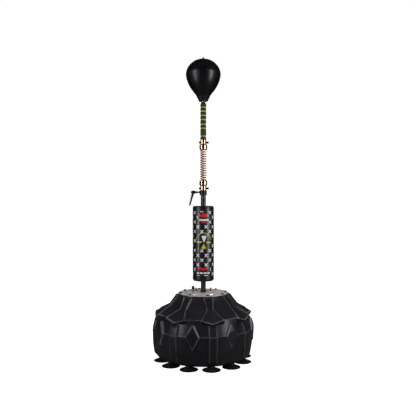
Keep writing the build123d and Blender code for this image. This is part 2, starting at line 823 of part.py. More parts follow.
def cross_nut(level, label):
    """Dome nut on a cross bolt's free end, towards -X."""
    with BuildPart() as nut:
        with BuildSketch(Plane.YZ.offset(-socket_radius)):
            with Locations((0, level)):
                RegularPolygon(cross_nut_ratio * cross_bolt_diameter / 2, 6)
        extrude(amount=-cross_nut_length)
        fillet(nut.edges().group_by(Axis.X)[0], cross_fixing_round)
        with BuildSketch(Plane.YZ.offset(-socket_radius)):
            with Locations((0, level)):
                Circle(cross_bolt_diameter / 2 + touch)
        extrude(amount=-cross_bolt_end - cross_nut_end_gap, mode=Mode.SUBTRACT)
    finish(nut, label)


cross_bolt(lower_bolt_level, "lower_cross_bolt")
cross_nut(lower_bolt_level, "lower_cross_nut")
cross_bolt(upper_bolt_level, "upper_cross_bolt")
cross_nut(upper_bolt_level, "upper_cross_nut")

coil_middle = coil_radius - wire_radius
coil_start = spring_bottom + wire_radius + touch
coil_end = spring_top - wire_radius - touch
with BuildPart() as coil_spring:
    with BuildLine():
        turns = Helix(spring_pitch, coil_end - coil_start, coil_middle, center=(0, 0, coil_start))
    with BuildSketch(Plane(origin=turns @ 0, x_dir=(1, 0, 0), z_dir=turns % 0)):
        Circle(wire_radius)
    sweep(is_frenet=True)
finish(coil_spring, "coil_spring")

# ---------------------------------------------------------------- rod, sleeve and rings
rod_foot_bottom = upper_bell_top + socket_seat
thread_radius = rod_thread_diameter / 2
with BuildPart() as ball_rod:
    with BuildSketch(Plane.XY.offset(rod_foot_bottom)):
        Circle(inner_tube_radius)
    extrude(amount=sleeve_bottom - rod_foot_bottom)
    with BuildSketch(Plane.XY.offset(sleeve_bottom)):
        Circle(rod_radius)
    extrude(amount=sleeve_length + stud_gap)
    with BuildSketch(Plane.XY.offset(ball_bottom)):
        Circle(thread_radius)
    extrude(amount=rod_thread_length)
    cross_hole(upper_bolt_level, bolt_hole)
finish(ball_rod, "ball_rod")

segment_edges = []
level = sleeve_bottom
for length in sleeve_lengths:
    segment_edges.append((level, level + length))
    level += length + grip_ring_height
with BuildPart() as sleeve_segments:
    for low, high in segment_edges[:-1]:
        tube(low, high, sleeve_radius, rod_radius)
    top_start = segment_edges[-1][0]
    with BuildSketch(Plane.XZ):
        with BuildLine():
            side = Polyline(
                (rod_radius, top_start),
                (sleeve_radius, top_start),
                (sleeve_radius, sleeve_top - sleeve_dome_length),
            )
            dome = Spline(side @ 1, (rod_radius + sleeve_end_wall, sleeve_top), tangents=[(0, 1), (-1, 0.35)])
            Polyline(dome @ 1, (rod_radius, sleeve_top), (rod_radius, top_start))
        make_face()
    revolve(axis=Axis.Z)
finish(sleeve_segments, "sleeve_segments")

with BuildPart() as grip_rings:
    for low, high in segment_edges[:-1]:
        tube(high, high + grip_ring_height, grip_ring_radius, rod_radius)
finish(grip_rings, "grip_rings")

# ---------------------------------------------------------------- ball
bladder_inside = ball_skin + bladder_skin
plate_radius = ball_neck_radius - bladder_inside - plate_gap


def ball_outline(inset):
    """Half section of the ball, drawn in from its outside by an inset, closed along the axis."""
    low = ball_bottom + inset
    high = ball_top - inset
    wide = ball_radius - inset
    waist = ball_bottom + ball_widest
    neck = ball_neck_radius - inset
    flank = Spline(
        (neck, low),
        (neck + 0.35 * (wide - neck), low + 0.335 * (waist - low)),
        (neck + 0.745 * (wide - neck), low + 0.60 * (waist - low)),
        (wide, waist),
        tangents=[(0.25, 1), (0, 1)],
    )
    crown = Spline(
        flank @ 1,
        (0.813 * wide, waist + 0.57 * (high - waist)),
        (0.554 * wide, waist + 0.84 * (high - waist)),
        (0, high),
        tangents=[(0, 1), (-1, 0)],
    )
    Polyline(crown @ 1, (0, low), flank @ 0)


def ball_shell(outer_inset, inner_inset, label):
    """Closed shell of the ball between two insets, open round the mounting plate's thread."""
    with BuildPart() as shell:
        with BuildSketch(Plane.XZ):
            with BuildLine():
                ball_outline(outer_inset)
            make_face()
        revolve(axis=Axis.Z)
        with BuildSketch(Plane.XZ):
            with BuildLine():
                ball_outline(inner_inset)
            make_face()
        revolve(axis=Axis.Z, mode=Mode.SUBTRACT)
        with BuildSketch(Plane.XY.offset(ball_bottom)):
            Circle(thread_radius + touch)
        extrude(amount=inner_inset, mode=Mode.SUBTRACT)
        with BuildSketch(Plane.XY.offset(ball_top)):
            Circle(valve_diameter / 2)
        extrude(amount=-inner_inset - plate_gap, mode=Mode.SUBTRACT)
    finish(shell, label)


with BuildPart() as neck_collar:
    with BuildSketch(Plane.XZ):
        with BuildLine():
            ball_outline(-collar_thickness)
        make_face()
    revolve(axis=Axis.Z)
    with BuildSketch(Plane.XY.offset(ball_bottom)):
        Circle(ball_radius)
    extrude(amount=collar_height, mode=Mode.INTERSECT)
    with BuildSketch(Plane.XZ):
        with BuildLine():
            ball_outline(0.0)
        make_face()
    revolve(axis=Axis.Z, mode=Mode.SUBTRACT)
finish(neck_collar, "neck_collar")

ball_shell(0.0, ball_skin, "ball_cover")
ball_shell(ball_skin, bladder_inside, "ball_bladder")

with BuildPart() as ball_plate:
    with BuildSketch(Plane.XY.offset(ball_bottom + bladder_inside)):
        Circle(plate_radius)
        Circle(thread_radius + touch, mode=Mode.SUBTRACT)
    extrude(amount=plate_thickness)
finish(ball_plate, "ball_plate")

with BuildPart() as air_valve:
    valve_foot = ball_top - bladder_inside - valve_root
    with BuildSketch(Plane.XY.offset(valve_foot)):
        Circle(valve_diameter / 2 - touch)
    extrude(amount=ball_top + valve_height - valve_foot)
    fillet(air_valve.edges().group_by(Axis.Z)[-1], valve_round)
finish(air_valve, "air_valve")
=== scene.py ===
"""Looks of a free-standing reflex ball stand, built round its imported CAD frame. Metres, +Z up, front towards -Y."""

import logging
import math
from dataclasses import dataclass, field
from enum import Enum
from typing import ClassVar, Callable, Iterable, Optional, Sequence

import bmesh
import bpy
from mathutils import Matrix, Vector, kdtree, noise


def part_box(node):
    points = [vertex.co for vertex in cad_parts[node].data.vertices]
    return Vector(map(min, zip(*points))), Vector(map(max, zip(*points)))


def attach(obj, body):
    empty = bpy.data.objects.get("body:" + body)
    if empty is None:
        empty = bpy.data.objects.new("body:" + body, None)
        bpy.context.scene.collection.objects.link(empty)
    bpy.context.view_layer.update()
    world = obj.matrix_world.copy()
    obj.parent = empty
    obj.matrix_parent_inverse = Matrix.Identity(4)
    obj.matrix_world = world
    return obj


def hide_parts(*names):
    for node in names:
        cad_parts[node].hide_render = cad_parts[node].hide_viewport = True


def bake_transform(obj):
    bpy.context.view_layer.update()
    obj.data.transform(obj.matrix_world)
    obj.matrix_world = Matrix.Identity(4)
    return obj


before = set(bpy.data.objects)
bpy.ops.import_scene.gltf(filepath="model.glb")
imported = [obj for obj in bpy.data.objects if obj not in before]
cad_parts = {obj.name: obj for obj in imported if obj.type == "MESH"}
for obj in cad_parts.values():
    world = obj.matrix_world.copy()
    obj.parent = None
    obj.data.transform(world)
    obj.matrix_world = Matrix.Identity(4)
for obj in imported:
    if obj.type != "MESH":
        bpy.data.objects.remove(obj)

LOG = logging.getLogger("reflex_stand")
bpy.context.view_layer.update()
FULL_TURN = 2.0 * math.pi
Point2 = tuple[float, float]


# ---------------------------------------------------------------- small helpers
def smooth(value: float) -> float:
    """Return value clamped to 0..1 and eased at both ends."""
    value = min(1.0, max(0.0, value))
    return value * value * (3.0 - 2.0 * value)


def mix(low: float, high: float, share: float) -> float:
    """Return the number that lies the given share of the way from low to high."""
    return low + (high - low) * share


def rounded(points: Sequence[Point2], radii: Sequence[float], segments: int = 5) -> list[Point2]:
    """Round the inner corners of an open outline.

    Args:
        points: corners as (radius, height).
        radii: one radius for each corner between the two ends.
        segments: straight pieces in each rounded corner.

    Returns:
        The outline with an arc in place of each corner whose radius is above zero.
    """
    outline = [points[0]]
    for index, radius in enumerate(radii, start=1):
        corner = Vector(points[index])
        back, ahead = Vector(points[index - 1]) - corner, Vector(points[index + 1]) - corner
        if radius <= 0.0:
            outline.append(tuple(corner))
            continue
        half = back.angle(ahead) / 2.0
        reach = min(radius / math.tan(half), 0.49 * back.length, 0.49 * ahead.length)
        radius = reach * math.tan(half)
        start, end = corner + back.normalized() * reach, corner + ahead.normalized() * reach
        middle = corner + (back.normalized() + ahead.normalized()).normalized() * (radius / math.sin(half))
        from_start, from_end = start - middle, end - middle
        for step in range(segments + 1):
            ray = from_start.lerp(from_end, step / segments)
            if ray.length > 1e-9:
                outline.append(tuple(middle + ray.normalized() * radius))
    outline.append(points[-1])
    return outline


def spaced(points: Sequence[Point2], step: float) -> list[Point2]:
    """Add points along an outline so that none are further apart than step."""
    dense = [points[0]]
    for start, end in zip(points, points[1:]):
        count = max(1, math.ceil(math.dist(start, end) / step))
        for index in range(1, count + 1):
            share = index / count
            dense.append((mix(start[0], end[0], share), mix(start[1], end[1], share)))
    return dense


def lathe(bm: bmesh.types.BMesh, outline: Sequence[Point2], steps: int, closed: bool = False) -> None:
    """Turn an outline a full turn about the Z axis.

    Args:
        bm: mesh that receives the turned shape.
        outline: points as (radius, height).
        steps: segments round the axis.
        closed: True joins the outline's end to its start, as for a ring.
    """
    fresh = bmesh.new()
    chain = [fresh.verts.new((radius, 0.0, height)) for radius, height in outline]
    pairs = list(zip(chain, chain[1:]))
    if closed:
        pairs.append((chain[-1], chain[0]))
    edges = [fresh.edges.new(pair) for pair in pairs]
    bmesh.ops.spin(
        fresh, geom=chain + edges, cent=(0, 0, 0), axis=(0, 0, 1), angle=FULL_TURN, steps=steps, use_merge=True
    )
    bmesh.ops.remove_doubles(fresh, verts=fresh.verts, dist=1e-6)
    bmesh.ops.recalc_face_normals(fresh, faces=fresh.faces)
    join(bm, fresh, Matrix.Identity(4))


def join(bm: bmesh.types.BMesh, part: bmesh.types.BMesh, place: Matrix) -> None:
    """Add a placed copy of part to bm, and free part."""
    part.transform(place)
    scratch = bpy.data.meshes.new("scratch")
    part.to_mesh(scratch)
    part.free()
    bm.from_mesh(scratch)
    bpy.data.meshes.remove(scratch)


def along(direction: Sequence[float], at: Sequence[float]) -> Matrix:
    """Return the placement that turns +Z to a direction and moves the origin to a point."""
    turn = Vector((0, 0, 1)).rotation_difference(Vector(direction)).to_matrix().to_4x4()
    return Matrix.Translation(at) @ turn


def node_middle(node: str) -> Vector:
    """Return the centre of a CAD node's box."""
    low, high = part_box(node)
    return (Vector(low) + Vector(high)) / 2.0


def at_angle(angle: float, radius: float, height: float) -> Vector:
    """Return the point at an angle in degrees round the pole, at a radius and height."""
    return Vector((radius * math.cos(math.radians(angle)), radius * math.sin(math.radians(angle)), height))


def make_piece(
    name: str,
    bm: bmesh.types.BMesh,
    material: bpy.types.Material,
    body: Optional[str],
    replaces: Iterable[str] = (),
    smooth_angle: float = 35.0,
) -> bpy.types.Object:
    """Turn a bmesh into a dressed piece that rides on a body.

    Args:
        name: the piece's name.
        bm: its mesh, which is freed.
        material: its finish.
        body: the CAD body it rides on, or None for a piece left unattached.
        replaces: CAD nodes that it stands for.
        smooth_angle: faces that meet at less than this many degrees are shaded smooth.

    Returns:
        The new object.
    """
    limit = math.radians(smooth_angle)
    for face in bm.faces:
        face.smooth = True
    for edge in bm.edges:
        edge.smooth = len(edge.link_faces) == 2 and edge.calc_face_angle(math.pi) < limit
    mesh = bpy.data.meshes.new(name)
    bm.to_mesh(mesh)
    bm.free()
    mesh.materials.append(material)
    piece = bpy.data.objects.new(name, mesh)
    bpy.context.scene.collection.objects.link(piece)
    if body:
        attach(piece, body)
    if replaces:
        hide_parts(*replaces)
    LOG.info("%s: %d faces", name, len(mesh.polygons))
    return piece


def dress(material: bpy.types.Material, *nodes: str) -> None:
    """Give CAD nodes that stay visible a procedural finish."""
    for node in nodes:
        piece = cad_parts[node]
        piece.data.materials.clear()
        piece.data.materials.append(material)
        for polygon in piece.data.polygons:
            polygon.material_index = 0
        LOG.info("%s keeps its CAD shape", node)


# ---------------------------------------------------------------- shader building
class NodePen:
    """Writes shader nodes into one tree and wires them up."""

    def __init__(self, tree: bpy.types.NodeTree) -> None:
        """Hold the tree."""
        self.tree = tree

    def add(self, kind: str, **settings: object) -> bpy.types.Node:
        """Add a node and set its properties."""
        node = self.tree.nodes.new(kind)
        for key, value in settings.items():
            setattr(node, key, value)
        return node

    def wire(self, value: object, socket: bpy.types.NodeSocket) -> None:
        """Feed a socket from another socket, or set it to a constant."""
        if isinstance(value, bpy.types.NodeSocket):
            self.tree.links.new(value, socket)
        else:
            socket.default_value = value

    def math(self, operation: str, *values: object, clamp: bool = False) -> bpy.types.NodeSocket:
        """Add a Math node and return its result."""
        node = self.add("ShaderNodeMath", operation=operation, use_clamp=clamp)
        for value, socket in zip(values, node.inputs):
            self.wire(value, socket)
        return node.outputs[0]

    def remap(self, value: object, low: float, high: float, to_low: float, to_high: float) -> bpy.types.NodeSocket:
        """Add a smooth Map Range node from low..high to to_low..to_high and return its result."""
        node = self.add("ShaderNodeMapRange", interpolation_type="SMOOTHSTEP")
        for index, number in enumerate((value, low, high, to_low, to_high)):
            self.wire(number, node.inputs[index])
        return node.outputs[0]

    def blend(self, share: object, first: object, second: object) -> bpy.types.NodeSocket:
        """Add a colour Mix node and return its result."""
        node = self.add("ShaderNodeMix", data_type="RGBA")
        self.wire(share, node.inputs["Factor"])
        self.wire(first, node.inputs[6])
        self.wire(second, node.inputs[7])
        return node.outputs[2]

    def noise(self, vector: object, scale: object, detail: float = 3.0, roughness: float = 0.5) -> bpy.types.NodeSocket:
        """Add a Noise Texture and return its factor."""
        node = self.add("ShaderNodeTexNoise")
        self.wire(vector, node.inputs["Vector"])
        self.wire(scale, node.inputs["Scale"])
        self.wire(detail, node.inputs["Detail"])
        self.wire(roughness, node.inputs["Roughness"])
        return node.outputs["Fac"]

    def object_point(self) -> bpy.types.NodeSocket:
        """Return Object coordinates."""
        return self.add("ShaderNodeTexCoord").outputs["Object"]

    def stretched(self, vector: object, scale: Sequence[float]) -> bpy.types.NodeSocket:
        """Return a vector scaled differently along each axis."""
        node = self.add("ShaderNodeMapping")
        self.wire(vector, node.inputs["Vector"])
        node.inputs["Scale"].default_value = scale
        return node.outputs["Vector"]

    def bump(self, height: object, strength: float, distance: float, normal: object = None) -> bpy.types.NodeSocket:
        """Add a Bump node and return its normal."""
        node = self.add("ShaderNodeBump")
        self.wire(height, node.inputs["Height"])
        self.wire(strength, node.inputs["Strength"])
        self.wire(distance, node.inputs["Distance"])
        if normal is not None:
            self.wire(normal, node.inputs["Normal"])
        return node.outputs["Normal"]


def shader_group(
    name: str,
    inputs: dict[str, float],
    outputs: Sequence[str],
    draw: Callable[[NodePen, dict, dict], None],
) -> bpy.types.NodeTree:
    """Make a shader node group of varying values once.

    Args:
        name: the group's name.
        inputs: float inputs and their defaults, besides the Vector input.
        outputs: float outputs.
        draw: function that fills the group from its input sockets and wires the output sockets.

    Returns:
        The node group.
    """
    if name in bpy.data.node_groups:
        return bpy.data.node_groups[name]
    tree = bpy.data.node_groups.new(name, "ShaderNodeTree")
    tree.interface.new_socket("Vector", in_out="INPUT", socket_type="NodeSocketVector")
    for key, default in inputs.items():
        socket = tree.interface.new_socket(key, in_out="INPUT", socket_type="NodeSocketFloat")
        socket.default_value = default
    for key in outputs:
        tree.interface.new_socket(key, in_out="OUTPUT", socket_type="NodeSocketFloat")
    pen = NodePen(tree)
    sources = pen.add("NodeGroupInput").outputs
    targets = pen.add("NodeGroupOutput").inputs
    draw(pen, sources, targets)
    return tree


def draw_grain(pen: NodePen, sources: dict, targets: dict) -> None:
    """Fine moulded or leather grain: a pebbled height and a slow mottling."""
    cells = pen.add("ShaderNodeTexVoronoi", feature="SMOOTH_F1")
    pen.wire(sources["Vector"], cells.inputs["Vector"])
    pen.wire(sources["Scale"], cells.inputs["Scale"])
    fine = pen.noise(sources["Vector"], pen.math("MULTIPLY", sources["Scale"], 2.3), 4.0)
    height = pen.math("ADD", pen.math("MULTIPLY", cells.outputs["Distance"], sources["Pebble"]), fine)
    pen.wire(height, targets["Height"])
    pen.wire(pen.noise(sources["Vector"], sources["Mottle Scale"], 5.0, 0.6), targets["Mottle"])


def draw_edges_and_dust(pen: NodePen, sources: dict, targets: dict) -> None:
    """An edge mask from the surface's convexity, broken up by noise, and dust on upward faces. The edge mask marks wear
    on most finishes and paints highlights on the convex edges of the tank's finish.
    """
    geometry = pen.add("ShaderNodeNewGeometry")
    speckle = pen.noise(sources["Vector"], sources["Scale"], 6.0, 0.65)
    edge = pen.remap(geometry.outputs["Pointiness"], 0.52, 0.60, 0.0, 1.0)
    broken = pen.remap(speckle, 0.42, 0.62, 0.0, 1.0)
    pen.wire(pen.math("MULTIPLY", pen.math("MULTIPLY", edge, broken), sources["Amount"], clamp=True), targets["Edge"])
    axes = pen.add("ShaderNodeSeparateXYZ")
    pen.wire(geometry.outputs["Normal"], axes.inputs[0])
    upward = pen.remap(axes.outputs["Z"], 0.2, 1.0, 0.0, 1.0)
    settled = pen.remap(speckle, 0.35, 0.75, 0.2, 1.0)
    pen.wire(pen.math("MULTIPLY", pen.math("MULTIPLY", upward, settled), sources["Dust"], clamp=True), targets["Dust"])


def draw_scratches(pen: NodePen, sources: dict, targets: dict) -> None:
    """Fine hairlines round the Z axis, as polishing leaves, and faint cloudy smudges."""
    axes = pen.add("ShaderNodeSeparateXYZ")
    pen.wire(sources["Vector"], axes.inputs[0])
    radius = pen.math(
        "SQRT",
        pen.math("ADD", pen.math("POWER", axes.outputs["X"], 2.0), pen.math("POWER", axes.outputs["Y"], 2.0)),
    )
    lines = pen.add("ShaderNodeCombineXYZ")
    pen.wire(radius, lines.inputs[0])
    pen.wire(axes.outputs["Z"], lines.inputs[2])
    pen.wire(pen.noise(lines.outputs[0], sources["Scale"], 2.0, 0.7), targets["Lines"])
    pen.wire(pen.noise(sources["Vector"], sources["Smudge Scale"], 4.0, 0.55), targets["Smudge"])


def grain_group() -> bpy.types.NodeTree:
    """Return the shared grain group."""
    inputs = {"Scale": 900.0, "Pebble": 0.6, "Mottle Scale": 9.0}
    return shader_group("surface_grain", inputs, ("Height", "Mottle"), draw_grain)


def edge_dust_group() -> bpy.types.NodeTree:
    """Return the shared edge mask and dust group."""
    return shader_group("edge_mask_and_dust", {"Scale": 60.0, "Amount": 0.4, "Dust": 0.1}, ("Edge", "Dust"), draw_edges_and_dust)


def scratch_group() -> bpy.types.NodeTree:
    """Return the shared polishing-line group."""
    return shader_group("polish_lines", {"Scale": 1500.0, "Smudge Scale": 30.0}, ("Lines", "Smudge"), draw_scratches)


def place_group(pen: NodePen, tree: bpy.types.NodeTree, vector: object, **values: float) -> dict:
    """Place a node group, feed its Vector input and set its other inputs, and return its outputs."""
    node = pen.add("ShaderNodeGroup", node_tree=tree)
    pen.wire(vector, node.inputs["Vector"])
    for key, value in values.items():
        node.inputs[key.replace("_", " ")].default_value = value
    return node.outputs


def new_material(name: str) -> tuple[bpy.types.Material, NodePen, bpy.types.Node]:
    """Make an empty material and return it with a pen and its Principled shader."""
    material = bpy.data.materials.new(name)
    material.use_nodes = True
    pen = NodePen(material.node_tree)
    shader = next(node for node in material.node_tree.nodes if node.type == "BSDF_PRINCIPLED")
    return material, pen, shader


Colour = tuple[float, float, float]


def rgba(colour: Colour) -> tuple[float, float, float, float]:
    """Return a colour with full alpha."""
    return (*colour, 1.0)


@dataclass(frozen=True)
class MouldedPlastic:
    """Moulded plastic or rubber with fine grain, soft mottling, lightened edges and a little dust. The lightened edges
    are wear on most finishes and painted highlight lines on the tank's finish.
    """

    name: str
    colour: Colour = (0.012, 0.012, 0.014)
    worn_and_highlight: Colour = (0.10, 0.10, 0.105)
    roughness: tuple[float, float] = (0.30, 0.42)
    grain: float = 0.10
    grain_scale: float = 900.0
    wear: float = 0.35
    dust: float = 0.01
    coat: float = 0.0
    specular: float = 0.32
    highlight_layer: str = ""

    def material(self) -> bpy.types.Material:
        """Build the finish."""
        material, pen, shader = new_material(self.name)
        point = pen.object_point()
        grain = place_group(pen, grain_group(), point, Scale=self.grain_scale)
        wear = place_group(pen, edge_dust_group(), point, Amount=self.wear, Dust=self.dust)
        tinted = pen.blend(pen.remap(grain["Mottle"], 0.3, 0.7, 0.0, 1.0), rgba(self.colour),
                           rgba(tuple(channel * 1.35 for channel in self.colour)))
        edge = wear["Edge"]
        # Painted highlight: the per-vertex edge weight, broken up by the mottle, adds light lines in the edge colour
        # along raised edges.
        if self.highlight_layer:
            raised = pen.add("ShaderNodeAttribute", attribute_name=self.highlight_layer).outputs["Fac"]
            painted_highlight = pen.math("MULTIPLY", raised, pen.remap(grain["Mottle"], 0.38, 0.58, 0.15, 0.85))
            edge = pen.math("MAXIMUM", edge, painted_highlight)
        # Edges take the edge colour: wear on most finishes, painted highlight on the tank's finish, whose edge colour
        # is light.
        worn_and_highlight = pen.blend(edge, tinted, rgba(self.worn_and_highlight))
        pen.wire(pen.blend(wear["Dust"], worn_and_highlight, (0.35, 0.34, 0.32, 1.0)), shader.inputs["Base Color"])
        pen.wire(pen.remap(grain["Mottle"], 0.3, 0.7, *self.roughness), shader.inputs["Roughness"])
        pen.wire(pen.bump(grain["Height"], self.grain, 0.0004), shader.inputs["Normal"])
        shader.inputs["Coat Weight"].default_value = self.coat
        shader.inputs["Coat Roughness"].default_value = 0.08
        shader.inputs["Specular IOR Level"].default_value = self.specular
        return material


@dataclass(frozen=True)
class PolishedMetal:
    """Bare or plated metal with turning lines, smudges and slight tone changes."""

    name: str
    colour: Colour = (0.78, 0.78, 0.80)
    shade: Colour = (0.55, 0.55, 0.58)
    roughness: tuple[float, float] = (0.10, 0.22)
    lines: float = 0.05
    line_scale: float = 1500.0
    metallic: float = 1.0

    def material(self) -> bpy.types.Material:
        """Build the finish."""
        material, pen, shader = new_material(self.name)
        point = pen.object_point()
        polish = place_group(pen, scratch_group(), point, Scale=self.line_scale)
        wear = place_group(pen, edge_dust_group(), point, Amount=0.5, Dust=0.0)
        cloud = pen.remap(polish["Smudge"], 0.35, 0.7, 0.0, 0.35)
        base = pen.blend(cloud, rgba(self.colour), rgba(self.shade))
        pen.wire(pen.blend(wear["Edge"], base, rgba(tuple(min(1.0, c * 1.15) for c in self.colour))),
                 shader.inputs["Base Color"])
        shader.inputs["Metallic"].default_value = self.metallic
        rough = pen.math("ADD", pen.remap(polish["Smudge"], 0.3, 0.7, *self.roughness),
                         pen.math("MULTIPLY", polish["Lines"], 0.06))
        pen.wire(rough, shader.inputs["Roughness"])
        pen.wire(pen.bump(polish["Lines"], self.lines, 0.0002), shader.inputs["Normal"])
        return material


@dataclass(frozen=True)
class CoatedLeather:
    """Glossy coated leather with a fine pebble, creases and a clear coat."""

    name: str
    colour: Colour = (0.0012, 0.0012, 0.0020)
    roughness: tuple[float, float] = (0.32, 0.40)
    grain: float = 0.04
    coat: float = 0.10
    specular: float = 0.32

    def material(self) -> bpy.types.Material:
        """Build the finish."""
        material, pen, shader = new_material(self.name)
        point = pen.object_point()
        grain = place_group(pen, grain_group(), point, Scale=650.0, Pebble=1.0, Mottle_Scale=14.0)
        wear = place_group(pen, edge_dust_group(), point, Amount=0.15, Dust=0.005, Scale=90.0)
        tinted = pen.blend(grain["Mottle"], rgba(self.colour), rgba(tuple(c * 1.8 for c in self.colour)))
        pen.wire(pen.blend(wear["Dust"], tinted, (0.3, 0.3, 0.3, 1.0)), shader.inputs["Base Color"])
        pen.wire(pen.remap(grain["Mottle"], 0.3, 0.7, *self.roughness), shader.inputs["Roughness"])
        pen.wire(pen.bump(grain["Height"], self.grain, 0.0003), shader.inputs["Normal"])
        shader.inputs["Coat Weight"].default_value = self.coat
        shader.inputs["Coat Roughness"].default_value = 0.26
        shader.inputs["Specular IOR Level"].default_value = self.specular
        return material


class Mark(Enum):
    """Generic printed shapes on the pad."""

    CHEVRON = "chevron"
    BAR = "bar"
    ARCH = "arch"
    DISC = "disc"
    TRIANGLE = "triangle"


@dataclass(frozen=True)
class PrintedMark:
    """One printed shape: its kind, colour, centre and half sizes in millimetres on the unrolled cover.

    A triangle points down, or up where its half height is negative. An arch is a ring's upper half.
    """

    kind: Mark
    colour: Colour
    centre: Point2
    half: Point2
    line: float = 3.0


@dataclass(frozen=True)
class PrintedCover:
    """Glossy coated cloth printed with a staggered lattice of small lozenges and a column of plain marks.

    It reads the piece's UV map, in decimetres: across from the front, and up from the pad's middle.
    """

    name: str
    colour: Colour = (0.004, 0.004, 0.005)
    ink: Colour = (0.78, 0.78, 0.80)
    columns: int = 8
    circumference: float = 331.8
    row: float = 46.0
    phase: Point2 = (-6.5, -32.8)
    cross: float = 7.8
    stroke: float = 2.9
    field: Point2 = (2.0, 162.0)
    bare: tuple[tuple[Point2, Point2], ...] = (
        ((2.0, 124.0), (29.0, 29.0)), ((2.0, 8.0), (40.0, 34.0)), ((0.0, -134.0), (36.0, 26.0)),
    )
    marks: tuple[PrintedMark, ...] = ()

    def lattice(self, pen: NodePen, across: object, up: object, shift: float) -> bpy.types.NodeSocket:
        """Return the mask of one of the two interleaved lattices of small crosses."""
        local = []
        steps = (self.circumference / self.columns, self.row)
        for value, size, phase in zip((across, up), steps, self.phase):
            moved = pen.math("ADD", value, size * (50.5 + shift) - phase)
            offset = pen.math("SUBTRACT", pen.math("MODULO", moved, size), 0.5 * size)
            local.append(pen.math("ABSOLUTE", offset))
        arm = pen.math("LESS_THAN", pen.math("ABSOLUTE", pen.math("SUBTRACT", local[0], local[1])), self.stroke)
        reach = pen.math("LESS_THAN", pen.math("MAXIMUM", local[0], local[1]), self.cross)
        return pen.math("MULTIPLY", arm, reach)

    def box_mask(self, pen: NodePen, across: object, up: object, centre: Point2, half: Point2) -> bpy.types.NodeSocket:
        """Return the mask of an upright rectangle."""
        side = pen.math("LESS_THAN", pen.math("ABSOLUTE", pen.math("SUBTRACT", across, centre[0])), half[0])
        tall = pen.math("LESS_THAN", pen.math("ABSOLUTE", pen.math("SUBTRACT", up, centre[1])), half[1])
        return pen.math("MULTIPLY", side, tall)

    def mark_mask(self, pen: NodePen, mark: PrintedMark, across: object, up: object) -> bpy.types.NodeSocket:
        """Return the mask of one printed mark."""
        x = pen.math("SUBTRACT", across, mark.centre[0])
        y = pen.math("SUBTRACT", up, mark.centre[1])
        side = pen.math("ABSOLUTE", x)
        tall = pen.math("ABSOLUTE", y)
        in_width = pen.math("LESS_THAN", side, mark.half[0])
        in_height = pen.math("LESS_THAN", tall, abs(mark.half[1]))
        inside = pen.math("MULTIPLY", in_width, in_height)
        if mark.kind is Mark.BAR:
            return inside
        if mark.kind is Mark.CHEVRON:
            slant = pen.math("MULTIPLY", side, mark.half[1] / mark.half[0])
            bent = pen.math("SUBTRACT", y, pen.math("SUBTRACT", slant, 0.5 * mark.half[1]))
            return pen.math("MULTIPLY", pen.math("LESS_THAN", pen.math("ABSOLUTE", bent), mark.line), in_width)
        if mark.kind is Mark.TRIANGLE:
            share = pen.math("DIVIDE", pen.math("ADD", y, mark.half[1]), 2.0 * mark.half[1])
            edge = pen.math("MULTIPLY", share, mark.half[0])
            return pen.math("MULTIPLY", pen.math("LESS_THAN", side, edge), in_height)
        distance = pen.math("SQRT", pen.math("ADD", pen.math("POWER", side, 2.0), pen.math("POWER", tall, 2.0)))
        if mark.kind is Mark.DISC:
            return pen.math("LESS_THAN", distance, mark.half[0])
        off = pen.math("ABSOLUTE", pen.math("SUBTRACT", distance, mark.half[0]))
        return pen.math("MULTIPLY", pen.math("LESS_THAN", off, 0.5 * mark.line), pen.math("GREATER_THAN", y, 4.0))

    def material(self) -> bpy.types.Material:
        """Build the finish."""
        material, pen, shader = new_material(self.name)
        plane = pen.add("ShaderNodeSeparateXYZ")
        uv = pen.add("ShaderNodeUVMap", uv_map="wrap")
        pen.wire(uv.outputs[0], plane.inputs[0])
        across = pen.math("MULTIPLY", plane.outputs[0], 100.0)
        up = pen.math("MULTIPLY", plane.outputs[1], 100.0)
        crosses = pen.math("MAXIMUM", self.lattice(pen, across, up, 0.0), self.lattice(pen, across, up, 0.5))
        middle, half = self.field
        printed = pen.math("MULTIPLY", crosses, self.box_mask(pen, across, up, (0.0, middle), (1000.0, half)))
        for centre, size in self.bare:
            open_field = pen.math("SUBTRACT", 1.0, self.box_mask(pen, across, up, centre, size))
            printed = pen.math("MULTIPLY", printed, open_field)
        point = pen.object_point()
        grain = place_group(pen, grain_group(), point, Scale=520.0, Pebble=0.8, Mottle_Scale=22.0)
        worn_ink = pen.remap(grain["Mottle"], 0.30, 0.45, 0.75, 1.0)
        cloth = pen.blend(grain["Mottle"], rgba(self.colour), rgba(tuple(c * 2.0 for c in self.colour)))
        colour = pen.blend(pen.math("MULTIPLY", printed, worn_ink), cloth, rgba(self.ink))
        for mark in self.marks:
            mask = pen.math("MULTIPLY", self.mark_mask(pen, mark, across, up), worn_ink)
            colour = pen.blend(mask, colour, rgba(mark.colour))
        pen.wire(colour, shader.inputs["Base Color"])
        pen.wire(pen.remap(grain["Mottle"], 0.3, 0.7, 0.30, 0.42), shader.inputs["Roughness"])
        pen.wire(pen.bump(grain["Height"], 0.10, 0.0003), shader.inputs["Normal"])
        shader.inputs["Coat Weight"].default_value = 0.12
        shader.inputs["Coat Roughness"].default_value = 0.16
        return material


